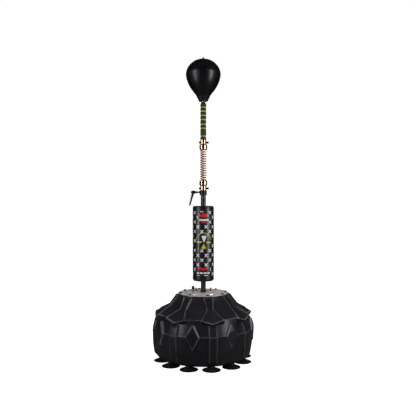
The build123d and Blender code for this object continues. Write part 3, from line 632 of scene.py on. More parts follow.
# ---------------------------------------------------------------- finishes of this stand
RED: Colour = (0.62, 0.012, 0.020)
YELLOW: Colour = (0.55, 0.50, 0.04)
WHITE: Colour = (0.75, 0.75, 0.76)
PAD_MARKS = (
    PrintedMark(Mark.CHEVRON, RED, (2.0, 136.0), (24.0, 9.0), 5.0),
    PrintedMark(Mark.DISC, RED, (2.0, 140.0), (9.5, 9.5)),
    PrintedMark(Mark.BAR, WHITE, (3.0, 115.5), (24.0, 4.2)),
    PrintedMark(Mark.BAR, RED, (2.0, 104.5), (11.0, 4.0)),
    PrintedMark(Mark.ARCH, YELLOW, (2.0, 13.5), (39.0, 39.0), 3.2),
    PrintedMark(Mark.BAR, YELLOW, (-20.0, 8.5), (14.0, 3.6)),
    PrintedMark(Mark.BAR, YELLOW, (27.5, 6.5), (12.0, 3.6)),
    PrintedMark(Mark.TRIANGLE, WHITE, (4.0, 22.0), (13.0, 17.0)),
    PrintedMark(Mark.TRIANGLE, YELLOW, (2.0, -11.0), (12.0, -12.0)),
    PrintedMark(Mark.CHEVRON, RED, (0.0, -119.0), (25.0, 11.0), 6.0),
    *(PrintedMark(Mark.BAR, WHITE, (place, -141.5), (7.2, 3.6)) for place in (-27.0, -9.0, 9.0, 27.0)),
    PrintedMark(Mark.BAR, WHITE, (-26.0, -153.0), (8.0, 1.6)),
    PrintedMark(Mark.BAR, WHITE, (13.0, -153.0), (9.0, 1.6)),
)


# ---------------------------------------------------------------- base
@dataclass
class WeightedTank:
    """Blow-moulded round tank with upright ribs, raised lozenges and flared shoulder panels."""

    sectors: int = 8
    first_rib: float = 11.25
    steps: int = 576
    row_step: float = 0.0026
    rib_half: float = 0.0165
    rib_rise: float = 0.0085
    lozenge_half: Point2 = (0.030, 0.056)
    lozenge_face: float = 0.2475
    seam: float = 0.1585
    panel_rise: float = 0.005
    strap_half: Point2 = (0.0185, 0.024)
    facet_depth: float = 0.006
    flare_half: float = 0.053
    panel_edge: float = 0.2365
    edge_heights: Point2 = (0.2150, 0.2335)
    lip_foot: float = 0.2095
    bevel: float = 0.006
    border: Point2 = (0.0045, 0.0032)
    edge_width: float = 0.0030
    highlight_layer: ClassVar[str] = "painted_edge_highlight"
    knee: Point2 = (0.166, 0.2625)
    lip: Point2 = (0.2225, 0.2315)

    def outline(self) -> list[Point2]:
        """Return the valley outline from the underside's middle to the top's middle."""
        low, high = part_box("tank")
        corners = [
            (0.0, low[2]), (0.216, low[2]), (0.231, 0.031), (0.2385, 0.086), (0.2410, self.seam),
            (0.2260, 0.216), self.lip, self.knee, (0.134, 0.304), (0.124, high[2]), (0.0, high[2]),
        ]
        radii = [0.009, 0.030, 0.12, 0.10, 0.012, 0.005, 0.006, 0.03, 0.003]
        dense = rounded(corners, radii, 4)
        return [point for point in spaced(dense, self.row_step) if point[0] > 0.100 or point[0] == 0.0]

    def rib(self, arc: float, height: float) -> float:
        """Return how far an upright rib raises the drum there."""
        across = smooth((self.rib_half + self.bevel - abs(arc)) / self.bevel)
        along_rib = smooth((height - 0.032) / 0.014) * smooth((0.211 - height) / 0.016)
        return self.rib_rise * across * along_rib

    def lozenge(self, arc: float, radius: float, angle: float, height: float) -> float:
        """Return how far a raised lozenge lifts the drum there."""
        half_x, half_z = self.lozenge_half
        inside = 1.0 - abs(arc) / half_x - abs(height - self.seam) / half_z
        inside *= half_x * half_z / math.hypot(half_x, half_z)
        face = min(max(self.lozenge_face / math.cos(angle) - radius, 0.0075), 0.0125)
        return face * smooth(0.6 + inside / self.bevel)

    def ridge(self, arc: float, half: float) -> float:
        """Return the rise of the raised border that runs along a strap's or panel's side."""
        width, rise = self.border
        return rise * smooth(1.15 - abs(abs(arc) - (half - width)) / width)

    def strap(self, arc: float, height: float) -> float:
        """Return how far a strap on the cone rises, less the facet sunk in it."""
        share = min(1.0, max(0.0, (height - self.knee[1]) / 0.050))
        half = mix(self.strap_half[0], self.strap_half[1], share)
        raised = self.panel_rise * smooth((half - abs(arc)) / self.bevel + 0.5) * smooth((0.3195 - height) / 0.006)
        facet_half = 0.0195 * (height - self.knee[1] - 0.001) / 0.047
        on_facet = smooth((facet_half - abs(arc)) / 0.003 + 0.5) * smooth((0.3135 - height) / 0.003)
        raised += self.ridge(arc, half) * smooth((0.3195 - height) / 0.006)
        return raised - self.facet_depth * on_facet * smooth((height - self.knee[1]) / 0.006)

    def shoulder_panel(self, point: Point2, from_rib: float) -> tuple[Point2, float]:
        """Return where a flared panel puts a point of the shoulder or lip, and how fully it does so."""
        radius, height = point
        inner, outer = self.knee[0] + 0.002, self.panel_edge
        share = min(1.0, max(0.0, (radius - self.knee[0]) / (self.lip[0] - self.knee[0])))
        half = mix(self.strap_half[0], self.flare_half, share)
        arc = radius * math.sin(from_rib)
        side = min(1.0, abs(arc) / half)
        top = self.knee[1] + self.panel_rise
        edge_height = mix(self.edge_heights[0], self.edge_heights[1], side)
        weight = smooth((half - abs(arc)) / self.bevel + 0.5)
        if height >= self.lip[1]:
            level = mix(top, edge_height, share) + self.ridge(arc, half)
            return (mix(inner, outer, share), level), weight
        down = (self.lip[1] - height) / (self.lip[1] - self.lip_foot)
        foot = min(edge_height - 0.006, self.lip_foot)
        return (mix(outer, self.lip[0] + 0.004, smooth(down)), mix(edge_height, foot, down)), weight

    def relief(self, point: Vector, normal: Point2) -> Vector:
        """Return the moved position of a vertex on the plain outline."""
        radius, height = math.hypot(point.x, point.y), point.z
        if radius < 0.12:
            return point
        turn = math.degrees(math.atan2(point.y, point.x)) - self.first_rib
        step = 360.0 / self.sectors
        from_rib = math.radians((turn + step / 2.0) % step - step / 2.0)
        from_lozenge = math.radians(turn % step - step / 2.0)
        outward = Vector((point.x, point.y, 0.0)).normalized()
        if self.lip_foot < height < self.knee[1]:
            (to_radius, to_height), weight = self.shoulder_panel((radius, height), from_rib)
            to_radius, to_height = mix(radius, to_radius, weight), mix(height, to_height, weight)
            return outward * to_radius + Vector((0.0, 0.0, to_height))
        if height >= self.knee[1]:
            rise = self.strap(radius * math.sin(from_rib), height)
            return point + outward * (normal[0] * rise) + Vector((0.0, 0.0, normal[1] * rise))
        rise = max(
            self.rib(radius * math.sin(from_rib), height),
            self.lozenge(radius * math.sin(from_lozenge), radius, from_lozenge, height),
            0.0016 * smooth(1.0 - abs(height - self.seam) / 0.003),
        )
        return point + outward * rise

    def near(self, distance: float, width: float = 0.0) -> float:
        """Return 1 on a painted highlight line, falling to 0 at the highlight's width from it."""
        return smooth(1.0 - abs(distance) / (width or self.edge_width))

    def edge_highlight(self, point: Vector) -> float:
        """Return the weight of the painted highlight at an unmoved vertex, from 0 to 1: light lines painted along the
        raised edges of straps, panels, lip, lozenges and ribs, and along the seam.
        """
        radius, height = math.hypot(point.x, point.y), point.z
        if radius < 0.12:
            return 0.0
        turn = math.degrees(math.atan2(point.y, point.x)) - self.first_rib
        step = 360.0 / self.sectors
        arc = radius * math.sin(math.radians((turn + step / 2.0) % step - step / 2.0))
        offset = radius * math.sin(math.radians(turn % step - step / 2.0))
        width, rise = self.border
        if height >= self.knee[1]:
            share = min(1.0, (height - self.knee[1]) / 0.050)
            half = mix(*self.strap_half, share)
            return 0.75 * self.near(abs(arc) - (half - width), 0.0034) * smooth((0.3195 - height) / 0.006)
        if height > self.lip_foot:
            share = min(1.0, max(0.0, (radius - self.knee[0]) / (self.lip[0] - self.knee[0])))
            half = mix(self.strap_half[0], self.flare_half, share)
            side = self.near(abs(arc) - (half - width), 0.0034) if height >= self.lip[1] - 0.004 else 0.0
            return max(0.75 * side, 0.65 * self.near(height - self.lip[1], 0.0026))
        half_x, half_z = self.lozenge_half
        inside = 1.0 - abs(offset) / half_x - abs(height - self.seam) / half_z
        inside *= half_x * half_z / math.hypot(half_x, half_z)
        return max(
            self.near(inside + 0.0005),
            0.28 * self.near(abs(arc) - self.rib_half) * smooth((height - 0.032) / 0.014),
            0.35 * self.near(height - self.seam) * (inside < 0.0),
        )

    def build(self, finish: bpy.types.Material) -> None:
        """Make the tank's skin."""
        outline = self.outline()
        spots = kdtree.KDTree(len(outline))
        for index, (radius, height) in enumerate(outline):
            spots.insert((radius, height, 0.0), index)
        spots.balance()
        bm = bmesh.new()
        lathe(bm, outline, self.steps)
        edges = bm.verts.layers.float.new(self.highlight_layer)
        for vert in bm.verts:
            # Painted highlight: each vertex stores the weight of the light lines painted along the tank's raised edges
            # and seam.
            vert[edges] = self.edge_highlight(vert.co)
            index = spots.find((math.hypot(vert.co.x, vert.co.y), vert.co.z, 0.0))[1]
            back, ahead = outline[max(0, index - 1)], outline[min(len(outline) - 1, index + 1)]
            run = Vector((ahead[0] - back[0], ahead[1] - back[1])).normalized()
            vert.co = self.relief(vert.co.copy(), (run.y, -run.x))
        make_piece("tank_skin", bm, finish, "base", ["tank"], 50.0)


@dataclass
class SuctionCups:
    """Ring of pressed rubber suction cups under the tank."""

    count: int = 12
    pitch_radius: float = 0.200
    first: float = 11.25
    radius: float = 0.043
    steps: int = 72

    def outline(self) -> list[Point2]:
        """Return one cup's half section, from the hollow's middle round the lip to the neck."""
        corners = [
            (0.0, 0.003), (0.029, 0.003), (0.037, 0.0), (self.radius, 0.0), (self.radius, 0.0018), (0.0375, 0.0032),
            (0.036, 0.0044), (0.0285, 0.0070), (0.0275, 0.0082), (0.019, 0.0125), (0.0135, 0.0165), (0.0130, 0.0200),
            (0.0, 0.0200),
        ]
        radii = [0.003, 0.002, 0.0008, 0.0008, 0.0006, 0.0008, 0.001, 0.001, 0.006, 0.004, 0.0]
        return rounded(corners, radii, 3)

    def build(self, finish: bpy.types.Material) -> None:
        """Make each cup with its pull tab."""
        for index in range(self.count):
            angle = self.first + index * 360.0 / self.count
            bm = bmesh.new()
            lathe(bm, self.outline(), self.steps)
            tab = bmesh.new()
            bmesh.ops.create_cube(tab, size=1.0, matrix=Matrix.Diagonal((0.010, 0.012, 0.0024, 1.0)))
            bmesh.ops.bevel(
                tab, geom=tab.edges[:], offset=0.0009, segments=3, profile=0.5, affect="EDGES", material=-1
            )
            join(bm, tab, Matrix.Translation((-self.radius + 0.0055, 0.0, 0.0034)))
            place = Matrix.Translation(at_angle(angle, self.pitch_radius, 0.0))
            bm.transform(place @ Matrix.Rotation(math.radians(angle), 4, "Z"))
            node = f"suction_cup_{index + 1:02d}"
            make_piece(f"{node}_rubber", bm, finish, "base", [node])


@dataclass
class TopPlates:
    """Fasteners on the steel plates that carry the pole."""

    bolt_circle: float = 0.112
    bolt_count: int = 8
    first_bolt: float = 11.25
    stud_circle: float = 0.053
    stud_count: int = 4

    def socket_bolts(self, finish: bpy.types.Material) -> None:
        """Make the round-headed bolts with hexagon sockets, each on a washer."""
        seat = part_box("mount_ring")[1][2]
        bm = bmesh.new()
        for index in range(self.bolt_count):
            head = bmesh.new()
            lathe(head, rounded([(0.0, 0.0), (0.0078, 0.0), (0.0078, 0.0010), (0.0066, 0.0010), (0.0066, 0.0028),
                                 (0.0050, 0.0044), (0.0, 0.0044)], [0.0003, 0.0003, 0.0, 0.001, 0.001], 3), 48)
            socket = bmesh.new()
            bmesh.ops.create_cone(
                socket, cap_ends=True, segments=6, radius1=0.0026, radius2=0.0026, depth=0.0006
            )
            top = [face for face in socket.faces if face.normal.z > 0.9]
            bmesh.ops.inset_region(socket, faces=top, thickness=0.0006)
            bmesh.ops.translate(socket, verts=[vert for face in top for vert in face.verts], vec=(0, 0, -0.0004))
            join(head, socket, Matrix.Translation((0, 0, 0.0045)))
            spot = at_angle(self.first_bolt + index * 360.0 / self.bolt_count, self.bolt_circle, seat)
            join(bm, head, Matrix.Translation(spot))
        make_piece("ring_bolt_heads", bm, finish, "base", ["ring_bolts"])

    def stud_nuts(self, steel: bpy.types.Material) -> None:
        """Make the chamfered nuts and the threaded stud ends above them."""
        low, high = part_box("flange_nuts")
        stud_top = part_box("flange_studs")[1][2]
        nuts, studs = bmesh.new(), bmesh.new()
        for index in range(self.stud_count):
            angle = 45.0 + index * 360.0 / self.stud_count
            nut = bmesh.new()
            bmesh.ops.create_cone(
                nut, cap_ends=True, segments=6, radius1=0.0074, radius2=0.0074, depth=high[2] - low[2]
            )
            rims = [edge for edge in nut.edges if abs(edge.verts[0].co.z - edge.verts[1].co.z) < 1e-6]
            bmesh.ops.bevel(nut, geom=rims, offset=0.0009, segments=2, profile=0.5, affect="EDGES", material=-1)
            join(nuts, nut, Matrix.Translation(at_angle(angle, self.stud_circle, (low[2] + high[2]) / 2.0)))
            thread = [(0.0, low[2] - 0.0016)]
            pitch = 0.00125
            turns = int((stud_top - 0.0012 - low[2]) / pitch)
            for turn in range(turns):
                base = low[2] + turn * pitch
                thread += [(0.0040, base), (0.0040, base + 0.2 * pitch), (0.0034, base + 0.6 * pitch)]
            thread += [(0.0040, stud_top - 0.0012), (0.0030, stud_top), (0.0, stud_top)]
            stud = bmesh.new()
            lathe(stud, thread, 32)
            join(studs, stud, Matrix.Translation(at_angle(angle, self.stud_circle, 0.0)))
        make_piece("flange_nuts_hex", nuts, steel, "base", ["flange_nuts"])
        make_piece("flange_stud_threads", studs, steel, "base", ["flange_studs"])

    def build(self, steel: bpy.types.Material, black: bpy.types.Material) -> None:
        """Make the bolts, nuts and studs."""
        self.socket_bolts(black)
        self.stud_nuts(steel)


# ---------------------------------------------------------------- pole
@dataclass
class PolePad:
    """Foam sleeve round the pole in a tight printed cover with bound ends and a back seam."""

    steps: int = 192
    rows: float = 0.004
    crown: float = 0.0006
    crease: float = 0.00035

    def build(self, finish: bpy.types.Material) -> None:
        """Make the padded cover."""
        low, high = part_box("pad_cover")
        radius, foot, top = high[0], low[2], high[2]
        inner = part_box("outer_tube")[1][0] + 0.0003
        body = radius - 0.0010
        corners = [
            (inner, foot + 0.002), (0.020, foot + 0.0015), (body - 0.004, foot + 0.001), (body, foot + 0.008),
            (body, top - 0.008), (body - 0.004, top - 0.001), (0.020, top - 0.0015), (inner, top - 0.002),
        ]
        outline = spaced(rounded(corners, [0.0, 0.006, 0.006, 0.006, 0.006, 0.0], 5), self.rows)
        bm = bmesh.new()
        lathe(bm, outline, self.steps, closed=True)
        middle, half = (foot + top) / 2.0, (top - foot) / 2.0
        for vert in bm.verts:
            reach = math.hypot(vert.co.x, vert.co.y)
            if reach < body - 0.012:
                continue
            share = abs(vert.co.z - middle) / half
            ripple = noise.noise(Vector((vert.co.x * 30.0, vert.co.y * 30.0, vert.co.z * 14.0)))
            behind = smooth(1.0 - math.dist((vert.co.x, vert.co.y), (0.0, reach)) / 0.004)
            grow = self.crown * (1.0 - share ** 4) + self.crease * ripple * (0.4 + share) - 0.0012 * behind
            vert.co += Vector((vert.co.x, vert.co.y, 0.0)).normalized() * grow
        layer = bm.loops.layers.uv.new("wrap")
        for face in bm.faces:
            centre = face.calc_center_median()
            for loop in face.loops:
                angle = math.atan2(loop.vert.co.x, -loop.vert.co.y)
                if abs(loop.vert.co.x) < 1e-5 and loop.vert.co.y > 0.0:
                    angle = math.copysign(math.pi, centre.x)
                loop[layer].uv = (angle * body * 10.0, (loop.vert.co.z - middle) * 10.0)
        pad = make_piece("pole_pad", bm, finish, "base", ["pad_cover", "pad_foam"], 60.0)

    def bindings(self, finish: bpy.types.Material) -> None:
        """Make the piped seams at both ends and the stitches up the back."""
        low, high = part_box("pad_cover")
        radius = high[0]
        bm = bmesh.new()
        for level in (low[2] + 0.0115, high[2] - 0.0115):
            bead = bmesh.new()
            circle = [(radius - 0.0008 + 0.0008 * math.cos(FULL_TURN * step / 8),
                       level + 0.0008 * math.sin(FULL_TURN * step / 8)) for step in range(8)]
            lathe(bead, circle, 160, closed=True)
            join(bm, bead, Matrix.Identity(4))
        count = int((high[2] - low[2] - 0.030) / 0.006)
        for index in range(count):
            height = low[2] + 0.016 + index * 0.006
            for side in (-1, 1):
                stitch = bmesh.new()
                bmesh.ops.create_uvsphere(
                    stitch, u_segments=8, v_segments=5, radius=1.0, matrix=Matrix.Diagonal((0.0004, 0.0004, 0.002, 1.0))
                )
                angle = 90.0 + side * 4.2
                join(bm, stitch, Matrix.Translation(at_angle(angle, radius - 0.0006, height)))
        make_piece("pad_bindings", bm, finish, "base", [])


@dataclass
class ClampLever:
    """Adjustable clamping lever: a rounded hub on a tapered neck, and a long handle."""

    steps: int = 48
    neck: float = 0.014

    def build(self, finish: bpy.types.Material) -> None:
        """Make the lever."""
        low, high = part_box("lever_handle")
        level = node_middle("clamp_screw").z
        start, end = high[0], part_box("hub_screw")[0][0] + 0.002
        length = start - end
        corners = [
            (0.0031, 0.0), (0.0042, 0.0), (0.0060, self.neck), (0.0085, self.neck + 0.003),
            (0.0085, length - 0.0045), (0.0060, length), (0.0031, length),
        ]
        hub = bmesh.new()
        lathe(hub, rounded(corners, [0.001, 0.010, 0.003, 0.004, 0.003], 5), self.steps)
        piece = bmesh.new()
        join(piece, hub, along((-1, 0, 0), (start, 0.0, level)))
        root = Vector(((start - self.neck + end) / 2.0, 0.0, level))
        tip = Vector((low[0] + 0.0036, 0.0, low[2] + 0.0036))
        run = (tip - root).length
        arm = bmesh.new()
        handle = [
            (0.0, 0.0), (0.0062, 0.0), (0.0056, 0.25 * run), (0.0043, 0.60 * run), (0.0041, 0.85 * run),
            (0.0040, run), (0.0026, run + 0.0030), (0.0, run + 0.0034),
        ]
        lathe(arm, rounded(handle, [0.0, 0.02, 0.03, 0.03, 0.003, 0.002], 5), 32)
        join(piece, arm, along(tip - root, root))
        make_piece("lever_grip", piece, finish, "clamp_lever", ["lever_handle"])


# ---------------------------------------------------------------- spring neck
@dataclass
class SpringNeck:
    """Polished couplings, their cross bolts and the coil spring between them."""

    wire: float = 0.0025
    coil: float = 0.0128
    pitch: float = 0.0115
    wire_sides: int = 14
    steps_per_turn: int = 40

    def coupling(self, node: str, body: str, upwards: bool, finish: bpy.types.Material) -> None:
        """Make one turned coupling: a socket, a rounded bell and a beaded mouth."""
        low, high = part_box(node)
        length = high[2] - low[2]
        corners = [
            (0.0107, 0.0), (0.0145, 0.0), (0.0145, 0.0205), (0.0152, 0.0225), (0.0190, 0.0265), (0.0190, 0.0400),
            (0.0197 - 0.0012, length - 0.0035), (0.0168, length), (0.0156, length), (0.0156, 0.0262), (0.0050, 0.0262),
            (0.0050, 0.0219), (0.0107, 0.0219),
        ]
        radii = [0.0012, 0.002, 0.001, 0.0045, 0.008, 0.003, 0.0008, 0.0004, 0.0, 0.0, 0.0]
        bm = bmesh.new()
        lathe(bm, rounded(corners, radii, 6), 96, closed=True)
        place = Matrix.Translation((0, 0, low[2]))
        if not upwards:
            place = Matrix.Translation((0, 0, high[2])) @ Matrix.Rotation(math.pi, 4, "X")
        bm.transform(place)
        make_piece(f"{node}_turned", bm, finish, body, [node])

    def coil_part(self, name: str, first_turn: float, turns: float, finish: bpy.types.Material) -> bpy.types.Object:
        """Make part of the coil by a helical spin of the wire's section."""
        low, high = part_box("coil_spring")
        foot = low[2] + self.wire
        angle = FULL_TURN * first_turn
        bm = bmesh.new()
        section = bmesh.ops.create_circle(bm, cap_ends=False, radius=self.wire, segments=self.wire_sides)["verts"]
        lean = math.atan2(self.pitch, FULL_TURN * self.coil)
        upright = Matrix.Rotation(math.pi / 2.0 + lean, 4, "X")
        start = Matrix.Rotation(angle, 4, "Z") @ Matrix.Translation((self.coil, 0, foot + self.pitch * first_turn))
        bmesh.ops.transform(bm, matrix=start @ upright, verts=section)
        steps = round(turns * self.steps_per_turn)
        bmesh.ops.spin(
            bm, geom=bm.verts[:] + bm.edges[:], cent=(0, 0, 0), axis=(0, 0, 1), angle=FULL_TURN * turns,
            steps=steps, dvec=(0, 0, self.pitch * turns / steps), use_merge=False,
        )
        bmesh.ops.holes_fill(bm, edges=[edge for edge in bm.edges if edge.is_boundary], sides=self.wire_sides)
        bmesh.ops.recalc_face_normals(bm, faces=bm.faces)
        return make_piece(name, bm, finish, None, [], 50.0)

    def spring(self, finish: bpy.types.Material) -> None:
        """Make the two halves of the coil, split midway between the couplings' mouths and left unattached to any body.
        """
        low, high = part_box("coil_spring")
        mouth_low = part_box("lower_coupling")[1][2]
        mouth_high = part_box("upper_coupling")[0][2]
        middle = (mouth_low + mouth_high) / 2.0
        total = (high[2] - low[2] - 2.0 * self.wire) / self.pitch
        split = (middle - low[2] - self.wire) / self.pitch
        lower = self.coil_part("coil_lower_half", 0.0, split, finish)
        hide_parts("coil_spring")
        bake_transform(lower)
        upper = self.coil_part("coil_upper_half", split, total - split, finish)
        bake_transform(upper)

    def cross_bolt(self, level_node: str, body: str, finish: bpy.types.Material) -> None:
        """Make a cross bolt's head with its socket, and the dome nut at its other end."""
        low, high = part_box(f"{level_node}_bolt")
        level = (low[2] + high[2]) / 2.0
        grip = 0.0145
        head_length = high[0] - grip
        head = bmesh.new()
        corners = [
            (0.0, -2.0 * grip), (0.0029, -2.0 * grip), (0.0029, 0.0), (0.0062, 0.0), (0.0062, 0.0014), (0.0046, 0.0014),
            (0.0048, head_length), (0.0030, head_length), (0.0026, head_length - 0.003), (0.0, head_length - 0.003),
        ]
        lathe(head, rounded(corners, [0.0, 0.0, 0.0003, 0.0003, 0.0, 0.001, 0.0003, 0.0], 4), 40)
        head.transform(along((1, 0, 0), (grip, 0.0, level)))
        make_piece(f"{level_node}_bolt_turned", head, finish, body, [f"{level_node}_bolt"])
        nut_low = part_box(f"{level_node}_nut")[0]
        nut = bmesh.new()
        bmesh.ops.create_cone(nut, cap_ends=True, segments=6, radius1=0.0057, radius2=0.0057, depth=0.0050)
        rims = [edge for edge in nut.edges if abs(edge.verts[0].co.z - edge.verts[1].co.z) < 1e-6]
        bmesh.ops.bevel(nut, geom=rims, offset=0.0006, segments=2, profile=0.5, affect="EDGES", material=-1)
        bmesh.ops.translate(nut, verts=nut.verts, vec=(0, 0, 0.0025))
        dome = bmesh.new()
        reach = -grip - nut_low[0]
        lathe(dome, rounded([(0.0, 0.004), (0.0048, 0.004), (0.0045, reach - 0.0010), (0.0, reach)],
                            [0.0, 0.0024], 6), 32)
        join(nut, dome, Matrix.Identity(4))
        nut.transform(along((-1, 0, 0), (-grip, 0.0, level)))
        make_piece(f"{level_node}_nut_domed", nut, finish, body, [f"{level_node}_nut"])

    def build(self, copper: bpy.types.Material, wire: bpy.types.Material, black: bpy.types.Material) -> None:
        """Make the whole neck."""
        self.coupling("lower_coupling", "mast", True, copper)
        self.coupling("upper_coupling", "head", False, copper)
        self.spring(wire)
        self.cross_bolt("lower_cross", "mast", black)
        self.cross_bolt("upper_cross", "head", black)


# ---------------------------------------------------------------- head
@dataclass
class GripSleeve:
    """Foam segments on the rod with bright rings set into the gaps between them."""

    ring_places: Sequence[float] = (0.0177, 0.0567, 0.0760, 0.0990, 0.1200, 0.1405, 0.1600)
    ring_half: float = 0.003
    dome_length: float = 0.0105
    end_wall: float = 0.0025

    def build(self, foam: bpy.types.Material, rubber: bpy.types.Material) -> None:
        """Make the segments and the rings."""
        low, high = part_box("sleeve_segments")
        radius, foot, top = high[0], low[2], high[2]
        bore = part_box("grip_rings")[1][0] - 0.0067
        edges = [foot]
        for place in self.ring_places:
            edges += [foot + place - self.ring_half, foot + place + self.ring_half]
        edges.append(top)
        segments = bmesh.new()
        for start, end in zip(edges[0::2], edges[1::2]):
            corners, radii = [(bore, start), (radius, start), (radius, end), (bore, end)], [0.0012, 0.0012]
            if end == top:
                shoulder, wall = end - self.dome_length, bore + self.end_wall
                corners = [(bore, start), (radius, start), (radius, shoulder), (wall, end), (bore, end)]
                radii = [0.0012, 0.012, 0.002]
            part = bmesh.new()
            lathe(part, rounded(corners, radii, 5), 72, closed=True)
            join(segments, part, Matrix.Identity(4))
        make_piece("sleeve_foam", segments, foam, "head", ["sleeve_segments"])
        rings = bmesh.new()
        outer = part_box("grip_rings")[1][0]
        for start, end in zip(edges[1::2], edges[2::2]):
            corners = [(bore, start), (outer, start), (outer, end), (bore, end)]
            part = bmesh.new()
            lathe(part, rounded(corners, [0.0022, 0.0022], 5), 72, closed=True)
            join(rings, part, Matrix.Identity(4))
        make_piece("grip_ring_rubber", rings, rubber, "head", ["grip_rings"])


@dataclass
class SpeedBall:
    """Teardrop ball of stitched gores with a bound neck and an air valve."""

    gores: int = 8
    steps: int = 256
    seam_depth: float = 0.0007
    seam_half: float = 0.0016

    def outline(self) -> list[Point2]:
        """Return the ball's half section from the neck's middle to the crown."""
        low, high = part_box("ball_cover")
        foot, top, wide = low[2], high[2], high[0]
        waist = foot + 0.133
        neck = 0.020
        points = [(0.0, foot), (neck, foot)]
        flank = ((0.0, 0.0), (0.11, 0.12), (0.275, 0.25), (0.475, 0.375), (0.665, 0.51), (0.81, 0.64), (0.922, 0.785),
                 (0.982, 0.91), (1.0, 1.0))
        crown = ((0.988, 0.13), (0.947, 0.30), (0.892, 0.44), (0.812, 0.575), (0.703, 0.71), (0.552, 0.845),
                 (0.39, 0.935), (0.20, 0.985), (0.0, 1.0))
        points += [(neck + (wide - neck) * out, foot + (waist - foot) * up) for out, up in flank[1:]]
        points += [(wide * out, waist + (top - waist) * up) for out, up in crown]
        return self.curved(points[1:], 5, points[0])

    @staticmethod
    def curved(points: Sequence[Point2], pieces: int, first: Point2) -> list[Point2]:
        """Return a Catmull-Rom curve through points, after a first point that stays a corner."""
        result = [first]
        padded = [points[0], *points, (-points[-2][0], points[-2][1])]
        for before, start, end, after in zip(padded, padded[1:], padded[2:], padded[3:]):
            for step in range(pieces):
                t = step / pieces
                result.append(tuple(
                    0.5 * (2 * b + (c - a) * t + (2 * a - 5 * b + 4 * c - d) * t * t + (3 * b - a - 3 * c + d) * t ** 3)
                    for a, b, c, d in zip(before, start, end, after)
                ))
        result.append(points[-1])
        return result

    def build(self, leather: bpy.types.Material, rubber: bpy.types.Material, plastic: bpy.types.Material) -> None:
        """Make the cover, the neck band and the valve."""
        bm = bmesh.new()
        lathe(bm, self.outline(), self.steps)
        step = FULL_TURN / self.gores
        for vert in bm.verts:
            radius = math.hypot(vert.co.x, vert.co.y)
            if radius < 0.012:
                continue
            turn = (math.atan2(vert.co.y, vert.co.x) + step / 2.0) % step - step / 2.0
            dip = smooth(1.0 - abs(radius * turn) / self.seam_half)
            vert.co -= Vector((vert.co.x, vert.co.y, 0.0)).normalized() * self.seam_depth * dip
        make_piece("ball_skin", bm, leather, "head", ["ball_cover", "ball_bladder", "ball_plate"], 60.0)
        self.neck_band(rubber)
        self.valve(plastic)

    def neck_band(self, rubber: bpy.types.Material) -> None:
        """Make the band round the neck with its gathered lower edge."""
        low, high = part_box("neck_collar")
        outline = [point for point in self.outline() if 0.019 < point[0] and point[1] <= high[2]]
        outer = [(radius + 0.0016, height) for radius, height in outline]
        inner = [(radius - 0.001, height) for radius, height in reversed(outline)]
        bm = bmesh.new()
        lathe(bm, outer + inner, 192, closed=True)
        for vert in bm.verts:
            angle = math.atan2(vert.co.y, vert.co.x)
            share = smooth(1.0 - (vert.co.z - low[2]) / 0.014)
            outward = Vector((vert.co.x, vert.co.y, 0.0)).normalized()
            vert.co += outward * 0.0009 * share * math.cos(9.0 * angle)
            vert.co.z += 0.0022 * share * (0.5 - 0.5 * math.cos(9.0 * angle))
        make_piece("neck_band", bm, rubber, "head", ["neck_collar"], 60.0)

    def valve(self, plastic: bpy.types.Material) -> None:
        """Make the air valve's rim and nozzle."""
        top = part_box("air_valve")[1][2]
        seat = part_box("ball_cover")[1][2]
        corners = [
            (0.0, seat - 0.004), (0.0085, seat - 0.003), (0.0085, seat + 0.0004), (0.0070, seat + 0.0014),
            (0.0042, seat + 0.0016), (0.0040, top), (0.0014, top), (0.0012, top - 0.002), (0.0, top - 0.002),
        ]
        bm = bmesh.new()
        lathe(bm, rounded(corners, [0.0005, 0.0006, 0.0008, 0.0005, 0.001, 0.0003, 0.0], 4), 48)
        make_piece("valve_nozzle", bm, plastic, "head", ["air_valve"])


